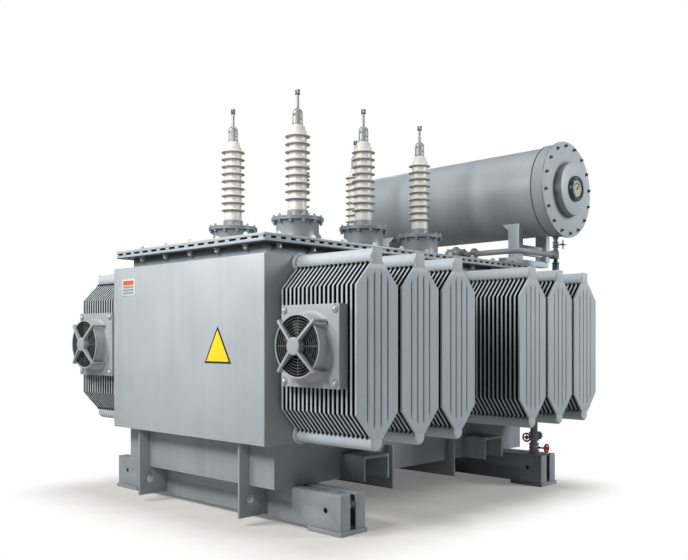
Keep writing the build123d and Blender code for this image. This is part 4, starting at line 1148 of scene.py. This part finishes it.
# %% Level gauge
gauge_radius = (gauge_high[0] - gauge_low[0]) / 2
gauge_base, gauge_face = -gauge_high[1], -gauge_low[1]
bezel = lathe([
    (gauge_radius - 0.006, gauge_base), (gauge_radius, gauge_base + 0.004),
    (gauge_radius, gauge_face - 0.010), (gauge_radius - 0.006, gauge_face),
    (gauge_radius - 0.042, gauge_face), (gauge_radius - 0.052, gauge_face - 0.012),
    (0.02, gauge_face - 0.012),
], 64)
piece("gauge_housing", lying(bezel), breather_paint, nodes=["level_gauge"])
rim_screws = bolt_circle(0.018, gauge_radius - 0.022, 12, gauge_face)
piece("gauge_screws", lying(rim_screws), zinc)

# %% Dial with ticks and a pointer
dial_radius = gauge_radius - 0.054
dial_face = gauge_face - 0.0119
dial_white = enamel("dial enamel", (0.40, 0.38, 0.32), roughness=0.3, contrast=0.1)
dial_dark = enamel("dial ink", (0.03, 0.03, 0.03), roughness=0.4, contrast=0.2)
dial = drum(dial_radius, dial_face, dial_face + 0.003, 0.001, 64)
piece("gauge_dial", lying(dial), dial_white)
tick_low = (dial_radius - 0.030, -0.003, dial_face + 0.002)
tick_high = (dial_radius - 0.008, 0.003, dial_face + 0.004)
ticks = around(slab(tick_low, tick_high, 0.0005), np.radians(np.linspace(-45, 225, 13)))
tip = dial_radius - 0.022
pointer_side = [(-0.026, -0.007), (tip, -0.002), (tip, 0.002), (-0.026, 0.007)]
pointer = plate(pointer_side, dial_face + 0.005, dial_face + 0.007, 0.0005, 1)
pointer = pointer.turned((0.64, 0.77, 0), (0, 0, 1))
pivot = drum(0.016, dial_face + 0.002, dial_face + 0.010, 0.002, 24)
arch = np.radians(np.linspace(20, 160, 25))
arc = np.stack([np.cos(arch), np.sin(arch), 0 * arch], axis=-1)
band_path = 0.6 * dial_radius * arc + (0, 0, dial_face + 0.003)
band = sweep(rounded(0.012, 0.002, 0.0005, 1), band_path, (0, 0, 1))
piece("gauge_marks", lying(ticks + pointer + pivot + band), dial_dark)

# %% [markdown]
# ## The base and the supports
# These solids already have the right shapes: rolled channels, cut plates and brackets. What they
# lack is the soft edge that flame cutting, grinding and thick paint leave. So each piece starts as
# a copy of its solid. Its loose triangles are merged, triangles in one plane become one face, and
# a Bevel modifier rounds only the edges between faces that meet at an angle.

# %% Copies of the solids with soft edges
def softened(name, node, finish, width=0.004):
    """Merged points, one face for each plane, then every edge above 30 degrees rounded."""
    work = bmesh.new()
    work.from_mesh(frame["nodes"][node].data)
    bmesh.ops.remove_doubles(work, verts=work.verts, dist=0.00002)
    bmesh.ops.dissolve_limit(work, angle_limit=np.radians(1.0), verts=work.verts, edges=work.edges)
    mesh = bpy.data.meshes.new(name)
    work.to_mesh(mesh)
    work.free()
    mesh.shade_smooth()
    mesh.materials.clear()
    mesh.materials.append(finish.material)
    made = bpy.data.objects.new(name, mesh)
    bpy.context.scene.collection.objects.link(made)
    bevel = made.modifiers.new("soft edges", "BEVEL")
    bevel.width, bevel.segments, bevel.angle_limit = width, 2, np.radians(30)
    bevel.use_clamp_overlap, bevel.harden_normals = False, True
    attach(made, "transformer")  # the piece moves with this body
    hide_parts(node)  # the plain solid is hidden, and the copy stands for it
    print(name, "has", len(mesh.polygons), "faces before its edges are rounded")


for node in ("sole_plates", "skid_front", "skid_rear", "skid_battens", "underbase", "hauling_plates",
             "cross_plates", "jacking_brackets"):
    softened(f"soft_{node}", node, shaded_base_paint)
for node in ("conservator_beams", "conservator_posts", "conservator_braces"):
    softened(f"soft_{node}", node, lit_post_paint, 0.003)

# %% [markdown]
# ## The pipework
# Oil pipes are joined by flanges, pairs of discs with a ring of bolts, so that a relay or a valve
# can be taken out. The same few shapes serve them all: a bent pipe, a bolted pair of flanges and a
# turned valve body. They are drawn about their own z axis and then turned into place.

# %% Flanges and valve bodies
HALF_GAP = 0.0015


def flanges(radius, thin, size, count):
    """Two discs with a thin gap between them at z = 0, bolted through from both sides."""
    half = drum(radius, HALF_GAP, HALF_GAP + thin, 0.0015, 32)
    half = half + bolt_circle(size, radius - 0.85 * size, count, HALF_GAP + thin, start=0.2)
    return half + half.mirrored(2)


def valve_body(radius, height, waist):
    """A flange at each end and a rounded belly between: r = w + 0.7 (R - w) cos^2(s pi / 2), with
    s from -1 to 1 along the belly."""
    thin = 0.15 * height
    share = np.linspace(-1, 1, 9)
    bulge = waist + 0.7 * (radius - waist) * np.cos(share * np.pi / 2) ** 2
    belly = np.stack([bulge, share * (height / 2 - thin)], axis=-1)
    lower = [(radius - 0.002, -height / 2), (radius, -height / 2 + 0.002), (radius, -height / 2 + thin)]
    upper = [(radius, height / 2 - thin), (radius, height / 2 - 0.002), (radius - 0.002, height / 2)]
    bolts = bolt_circle(0.16 * radius, 0.84 * radius, 6, height / 2)
    return lathe(np.concatenate([lower, belly, upper]), 32) + bolts + bolts.mirrored(2)


# %% Gas relay
RELAY_PIPE = 0.034
FOOT_FLANGE = 0.075
RISER_BEND, RUN_BEND = 0.075, 0.170
relay_low, relay_high = span("gas_relay")
run_low, run_high = span("relay_pipe")
relay_x, run_z = (relay_low[0] + relay_high[0]) / 2, (run_low[2] + run_high[2]) / 2
near_y, riser_y = relay_low[1], relay_high[1] - FOOT_FLANGE
relay_y = near_y + 0.289
run_y = run_low[1] + 0.055
relay_body = slab((-0.085, -0.100, -0.075), (0.085, 0.100, 0.062), 0.010, 0.022)
relay_body = relay_body + slab((-0.078, -0.092, 0.060), (0.078, 0.092, 0.075), 0.003, 0.02)
relay_body = relay_body + drum(0.048, 0.073, 0.092, 0.003, 32) + drum(0.030, 0.090, 0.109, 0.004, 24)
relay_bolts = bolt(0.014).at(*[(x, y, 0.075) for x in (-0.068, 0.068) for y in (-0.081, 0, 0.081)])
relay_body = relay_body + relay_bolts
elbow_route = [(relay_x, riser_y, cover_high[2]), (relay_x, riser_y, run_z), (relay_x, near_y, run_z)]
elbow = pipe(elbow_route, RELAY_PIPE, (1, 0, 0), RISER_BEND)
sleeve = drum(0.045, cover_high[2], run_z - 0.070, 0.004, 32).at((relay_x, riser_y, 0))
foot_flange = flanges(FOOT_FLANGE, 0.014, 0.018, 6).at((relay_x, riser_y, cover_high[2] + 0.0155))
upright = flanges(0.073, 0.014, 0.018, 6).turned((1, 0, 0), (0, 1, 0))
flange_rows = (relay_y - 0.112, relay_y + 0.112, near_y + 0.010)
relay_flanges = upright.at(*[(relay_x, y, run_z) for y in flange_rows])
relay = relay_body.at((relay_x, relay_y, run_z)) + elbow + sleeve + foot_flange + relay_flanges
piece("relay", relay, fitting_paint, nodes=["gas_relay"])
window = plate(rounded(0.100, 0.070, 0.012), 0, 0.004, 0.001).turned((0, -1, 0), (-1, 0, 0))
window_place = (relay_x - 0.0845, relay_y, run_z - 0.005)
piece("relay_window", window.at(window_place), breather_paint)

# %% Relay pipe and drop pipe
tee_x = run_high[0] - 0.014
run_route = [(relay_x, near_y, run_z), (relay_x, run_y, run_z), (tee_x + 0.012, run_y, run_z)]
long_pipe = pipe(run_route, RELAY_PIPE, (0, 0, 1), RUN_BEND)
end_flanges = flanges(0.053, 0.0125, 0.014, 6).turned((0, 1, 0), (1, 0, 0)).at((tee_x + 0.014, run_y, run_z))
piece("long_relay_pipe", long_pipe + end_flanges, fitting_paint, nodes=["relay_pipe"])
drop_top = span("drop_pipe")[1][2]
handle_low, handle_high = span("valve_handle")
drop_place = (AXIS_PLACE[0], run_y, 0)
valve_z = (handle_low[2] + handle_high[2]) / 2
tee = drum(0.042, run_z - 0.048, run_z + 0.048, 0.006, 32) + drum(0.025, run_z + 0.04, drop_top, 0.001, 24)
stub = drum(0.034, -0.074, 0, 0.001, 24).turned((0, 1, 0), (1, 0, 0)).at((0, 0, run_z))
unions = drum(0.034, drop_top - 0.030, drop_top - 0.004, 0.003, 6)
unions = unions + drum(0.036, run_z + 0.048, run_z + 0.072, 0.003, 6)
drop = tee + stub + unions + valve_body(0.042, 0.070, 0.028).at((0, 0, valve_z))
piece("drop_pipe_and_valve", drop.at(drop_place), drop_paint, nodes=["drop_pipe"])

# %% Cross handle of the valve
bar = sweep(circle(0.008, 12), [(0, 0, z) for z in (-0.058, -0.02, 0.02, 0.058)], (0, 1, 0))
knob = lathe([(0.002, -0.060), (0.008, -0.058), (0.0085, -0.052), (0.008, -0.046)], 12)
arm = bar + knob + knob.mirrored(2)
hub_disc = drum(0.016, -0.010, 0.010, 0.003, 24).turned((1, 0, 0), (0, -1, 0))
stem_length = handle_high[1] - handle_low[1] - 0.008
handle_stem = drum(0.009, 0, stem_length, 0.001, 16).turned((1, 0, 0), (0, -1, 0))
cross = (arm + arm.turned((0, 0, 1), (1, 0, 0)) + hub_disc).at((0, handle_low[1] + 0.010, 0))
cross = (cross + handle_stem.at((0, handle_high[1], 0))).at((AXIS_PLACE[0], 0, valve_z))
piece("cross_handle", cross, dark_steel, body="valve_handle", nodes=["valve_handle"])

# %% Breather
can_top = span("breather")[1][2]
can = [(0.010, 0), (0.022, -0.001), (0.022, -0.014), (0.030, -0.016), (0.030, -0.030), (0.024, -0.032),
       (0.024, -0.039), (0.041, -0.042), (0.045, -0.047), (0.045, -0.058), (0.041, -0.062), (0.041, -0.172),
       (0.044, -0.180), (0.047, -0.196), (0.053, -0.220), (0.054, -0.228), (0.049, -0.230), (0.020, -0.226)]
can_shape = lathe(can[::-1], 48).at((*drop_place[:2], can_top))
piece("breather_can", can_shape, breather_paint, nodes=["breather"])

# %% Drain pipe with two valves
DRAIN_PIPE = 0.042
DRAIN_BEND = 0.110
drain_low, drain_high = span("drain_pipe")
upper_low, upper_high = span("handwheel_upper")
lower_low, lower_high = span("handwheel_lower")
drain_x, drain_y = drain_high[0] - 0.070, drain_low[1] + 0.070
drain_top, foot_z = drain_high[2] - DRAIN_PIPE, drain_low[2]
upper_z, lower_z = (upper_low[2] + upper_high[2]) / 2, (lower_low[2] + lower_high[2]) / 2
drain_route = [
    (drain_x, drain_high[1], drain_top), (drain_x, drain_y, drain_top), (drain_x, drain_y, foot_z + 0.01),
]
drain = pipe(drain_route, DRAIN_PIPE, (1, 0, 0), DRAIN_BEND, 32)
wall_flanges = flanges(0.068, 0.014, 0.018, 8).turned((1, 0, 0), (0, 1, 0))
drain = drain + wall_flanges.at((drain_x, drain_high[1] - 0.018, drain_top))
drain = drain + valve_body(0.060, 0.088, 0.046).at((drain_x, drain_y, upper_z), (drain_x, drain_y, lower_z))
drain_foot = drum(0.070, foot_z, foot_z + 0.020, 0.003, 32) + bolt_circle(0.018, 0.056, 6, foot_z + 0.020)
drain = drain + drain_foot.at((drain_x, drain_y, 0))
piece("drain_pipe_and_valves", drain, fitting_paint, nodes=["drain_pipe"])
outlet = drum(0.026, 0.050, 0.100, 0.001, 24) + drum(0.048, 0.086, 0.100, 0.002, 32)
outlet = outlet + drum(0.048, 0.103, 0.115, 0.002, 32) + bolt_circle(0.014, 0.037, 6, 0.115)
outlet = outlet.turned((0, 0, -1), (1, 0, 0)).at((drain_x, drain_y, upper_z))
piece("drain_outlet", outlet, tank_paint)

# %% Red handwheels
WHEEL = 0.046
rim_ring = hoop(WHEEL, 0.0095, 0.104, 40, 12)
spoke_path = [(0.012, 0, 0.106), (0.024, 0, 0.100), (0.036, 0, 0.100), (WHEEL, 0, 0.104)]
spokes = around(sweep(circle(0.0072, 8), spoke_path, (0, 1, 0)), angles(4))
wheel_hub = drum(0.020, 0.090, 0.1135, 0.003, 24) + plate(circle(0.009, 6), 0.112, 0.116, 0.001, 1)
stem = drum(0.010, 0.0, 0.094, 0.001, 20) + drum(0.0155, 0.001, 0.016, 0.002, 6)
handwheel = rim_ring + spokes + wheel_hub + stem
upper_wheel = handwheel.turned((0, 1, 0), (-1, 0, 0)).at((upper_high[0], drain_y, upper_z))
lower_wheel = handwheel.turned((1, 0, 0), (0, -1, 0)).at((drain_x, lower_high[1], lower_z))
for side, wheel in (("upper", upper_wheel), ("lower", lower_wheel)):
    node = f"handwheel_{side}"
    piece(f"red_wheel_{side}", wheel, wheel_paint, body=node, nodes=[node])

# %% [markdown]
# ## Plates on the front
# Two bare plates are fixed to the front wall: a triangular yellow one with a dark rim, and a small
# pale one with an orange band, three grey panes and four rivets.

# %% Front plates
SIGN_SIDE = 0.400
SIGN_BASE = 1.487
SIGN_Y = -0.585
front_x = tank_low[0]


def on_front(shape, y, z):
    """A flat shape drawn in x and y is stood on the front wall, its z pointing forwards."""
    return shape.turned((0, -1, 0), (-1, 0, 0)).at((front_x, y, z))


triangle = SIGN_SIDE / np.sqrt(3) * circle(1.0, 3, np.pi / 2)
sign_centre = SIGN_BASE + SIGN_SIDE / (2 * np.sqrt(3))
sign_yellow = enamel("yellow plate enamel", (0.86, 0.56, 0.02), roughness=0.4, contrast=0.05)
sign_dark = enamel("dark plate rim", (0.02, 0.02, 0.02), roughness=0.4, contrast=0.2)
sign_back = on_front(plate(triangle, 0.0, 0.003, 0.001), SIGN_Y, sign_centre)
sign_front = on_front(plate(inset(triangle, 0.018), 0.002, 0.005, 0.001), SIGN_Y, sign_centre)
piece("triangle_rim", sign_back, sign_dark)
piece("triangle_face", sign_front, sign_yellow)
NAMEPLATE = (0.254, 0.180)
NAME_PLACE = (0.945, 2.259)
plate_white = enamel("pale nameplate enamel", (0.50, 0.51, 0.50), roughness=0.3, contrast=0.06)
plate_orange = enamel("orange band enamel", (0.50, 0.10, 0.03), roughness=0.35, contrast=0.1)
bare = plate(rounded(*NAMEPLATE, 0.010), 0.0, 0.004, 0.001)
rivets = drum(0.006, 0.003, 0.007, 0.002, 10).at(*four_corners(0.113, 0.076))
header = plate(rounded(0.200, 0.046, 0.004), 0.003, 0.005, 0.0005, 1).at((0, 0.048, 0))
pane = plate(rounded(0.200, 0.022, 0.003), 0.003, 0.005, 0.0005, 1)
panes = pane.at((0, 0.004, 0), (0, -0.028, 0), (0, -0.060, 0))
piece("bare_nameplate", on_front(bare + rivets, *NAME_PLACE), plate_white)
piece("nameplate_band", on_front(header, *NAME_PLACE), plate_orange)
piece("nameplate_panes", on_front(panes, *NAME_PLACE), fitting_paint)

# %% [markdown]
# ## Floor, light and camera
# The transformer stands on a pale floor that fades into white, lit like a product in a studio by
# six soft lamps: a large one high on the left (key), a smaller one for the bright front (front), a
# cooler one from the right for the shaded side (fill), a weak wide one overhead (top), a small one
# beside the camera for glints on edges and bolts (glint), and a cooler one from behind (back). An
# even, weak light comes from everywhere. The world is white only where the camera looks straight
# at it, and dimmer as a lamp, because a full white world would wash out every shadow. The floor's
# fade is worked out from the distance outside the base's rectangle: each axis gives how far a point
# lies beyond the rectangle's side, and the two are joined as the sides of a right triangle. The
# glow is for the camera's own rays alone, so that the floor doesn't light the machine from below.

# %% Floor
FLOOR_REACH = 60.0
BASE_SHIFT = 0.62
BASE_HALF = (1.90, 1.80)
FADE_LENGTH = 0.96
floor_finish = Finish("pale floor", Roughness=0.75)
beyond_x = (abs(floor_finish.axis("X") + BASE_SHIFT) - BASE_HALF[0]).above(0.0)
beyond_y = (abs(floor_finish.axis("Y")) - BASE_HALF[1]).above(0.0)
distance = (beyond_x * beyond_x + beyond_y * beyond_y) ** 0.5
grain = floor_finish.noise(3.0, detail=3.0)
floor_finish.feed(Base_Color=floor_finish.blend(grain, (0.52, 0.505, 0.475), (0.60, 0.585, 0.55)))
glow = floor_finish.node("ShaderNodeEmission", {}, {"Color": (1, 1, 1, 1), "Strength": 1.0})
fade = floor_finish.step(distance + 0.15 * (grain - 0.5), 0.0, FADE_LENGTH)
eye = Value(floor_finish, floor_finish.node("ShaderNodeLightPath").outputs["Is Camera Ray"])
share = (0.16 + 0.84 * fade) * eye
surfaces = {0: share, 1: floor_finish.shader.outputs[0], 2: glow.outputs[0]}
mixed = floor_finish.node("ShaderNodeMixShader", {}, surfaces)
output = floor_finish.tree.nodes["Material Output"]
floor_finish.tree.links.new(mixed.outputs[0], output.inputs["Surface"])
floor_mesh = bpy.data.meshes.new("floor")
floor_corners = FLOOR_REACH * np.array([(-1, -1, 0), (1, -1, 0), (1, 1, 0), (-1, 1, 0)])
floor_mesh.from_pydata(floor_corners.tolist(), [], [(0, 1, 2, 3)])
floor_mesh.materials.append(floor_finish.material)
floor = bpy.data.objects.new("floor", floor_mesh)
bpy.context.scene.collection.objects.link(floor)
floor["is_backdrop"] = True  # the floor isn't part of the object
print("the floor fades to white over", FADE_LENGTH, "m outside the base")

# %% World
AMBIENT_COLOUR = (0.93, 0.96, 1.0, 1.0)
AMBIENT_STRENGTH = 0.085
world = bpy.data.worlds.new("studio")
bpy.context.scene.world = world
world.use_nodes = True
nodes, links = world.node_tree.nodes, world.node_tree.links
ambient = nodes["Background"]
ambient.inputs["Color"].default_value = AMBIENT_COLOUR
ambient.inputs["Strength"].default_value = AMBIENT_STRENGTH
backdrop = nodes.new("ShaderNodeBackground")
backdrop.inputs["Color"].default_value = (1, 1, 1, 1)
seen = nodes.new("ShaderNodeLightPath")
choice = nodes.new("ShaderNodeMixShader")
links.new(seen.outputs["Is Camera Ray"], choice.inputs[0])
links.new(ambient.outputs[0], choice.inputs[1])
links.new(backdrop.outputs[0], choice.inputs[2])
links.new(choice.outputs[0], nodes["World Output"].inputs["Surface"])
bpy.context.scene.view_settings.view_transform = "Standard"
bpy.context.scene.view_settings.look = "None"
print("light from everywhere", AMBIENT_STRENGTH)


# %% Lamps
def lamp(name, place, target, power, size, colour=(1, 1, 1)):
    """A square soft lamp at a place, facing a target."""
    light = bpy.data.lights.new(name, "AREA")
    light.energy, light.size, light.color = power, size, colour
    made = bpy.data.objects.new(name, light)
    made.location = place
    towards = unit(np.subtract(target, place))
    yaw = np.arctan2(towards[1], towards[0])
    made.rotation_euler = Euler((np.arccos(-towards[2]), 0, yaw - np.pi / 2))
    bpy.context.scene.collection.objects.link(made)
    return made


WARM, COOL = (1.0, 0.99, 0.97), (0.97, 0.985, 1.0)
lamp("key", (-8.0, 2.8, 7.6), (-1.5, 0, 1.6), 760, 3.0, WARM)
lamp("front", (-7.6, -1.2, 5.0), (-2.2, -1.0, 2.4), 275, 1.2, WARM)
lamp("fill", (5.0, -8.8, 6.2), (0, 0, 1.8), 760, 3.5, COOL)
lamp("top", (0.5, 0.3, 9.5), (0, 0, 2.5), 170, 4.0)
lamp("glint", (-6.0, -8.0, 4.6), (-1.0, -1.0, 1.8), 22, 0.7)
lamp("back", (6.5, 7.5, 6.5), (0, 0, 1.8), 240, 3.5, COOL)
print("lamps", {light.name: light.energy for light in bpy.data.lights})

# %% Camera
SENSOR_WIDTH = 36.0
FOCAL_LENGTH = 42.861
LENS_SHIFT = 0.0857
EYE_PLACE = (-7.2685, -6.6955, 1.7142)
HEADING = -46.32
camera_data = bpy.data.cameras.new("camera")
camera_data.sensor_width = SENSOR_WIDTH
camera_data.lens = FOCAL_LENGTH
camera_data.shift_y = LENS_SHIFT
camera = bpy.data.objects.new("camera", camera_data)
camera.location = EYE_PLACE
camera.rotation_euler = Euler(np.radians((90.0, 0.0, HEADING)))
bpy.context.scene.collection.objects.link(camera)
bpy.context.scene.camera = camera
print("camera at", EYE_PLACE, "metres, lens", FOCAL_LENGTH, "mm")

# %% [markdown]
# ## Closing
# The two boxes are kept side by side, so that it is easy to see whether the dressed model is
# larger than the solids.

# %% Sizes and finish
dressed_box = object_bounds()  # the dressed model's box


def plain(box):
    """A box as plain lists of numbers."""
    return [[float(value) for value in corner] for corner in box]


{"cad": plain(cad_box), "dressed": plain(dressed_box)}
print("sizes", plain(cad_box), plain(dressed_box))
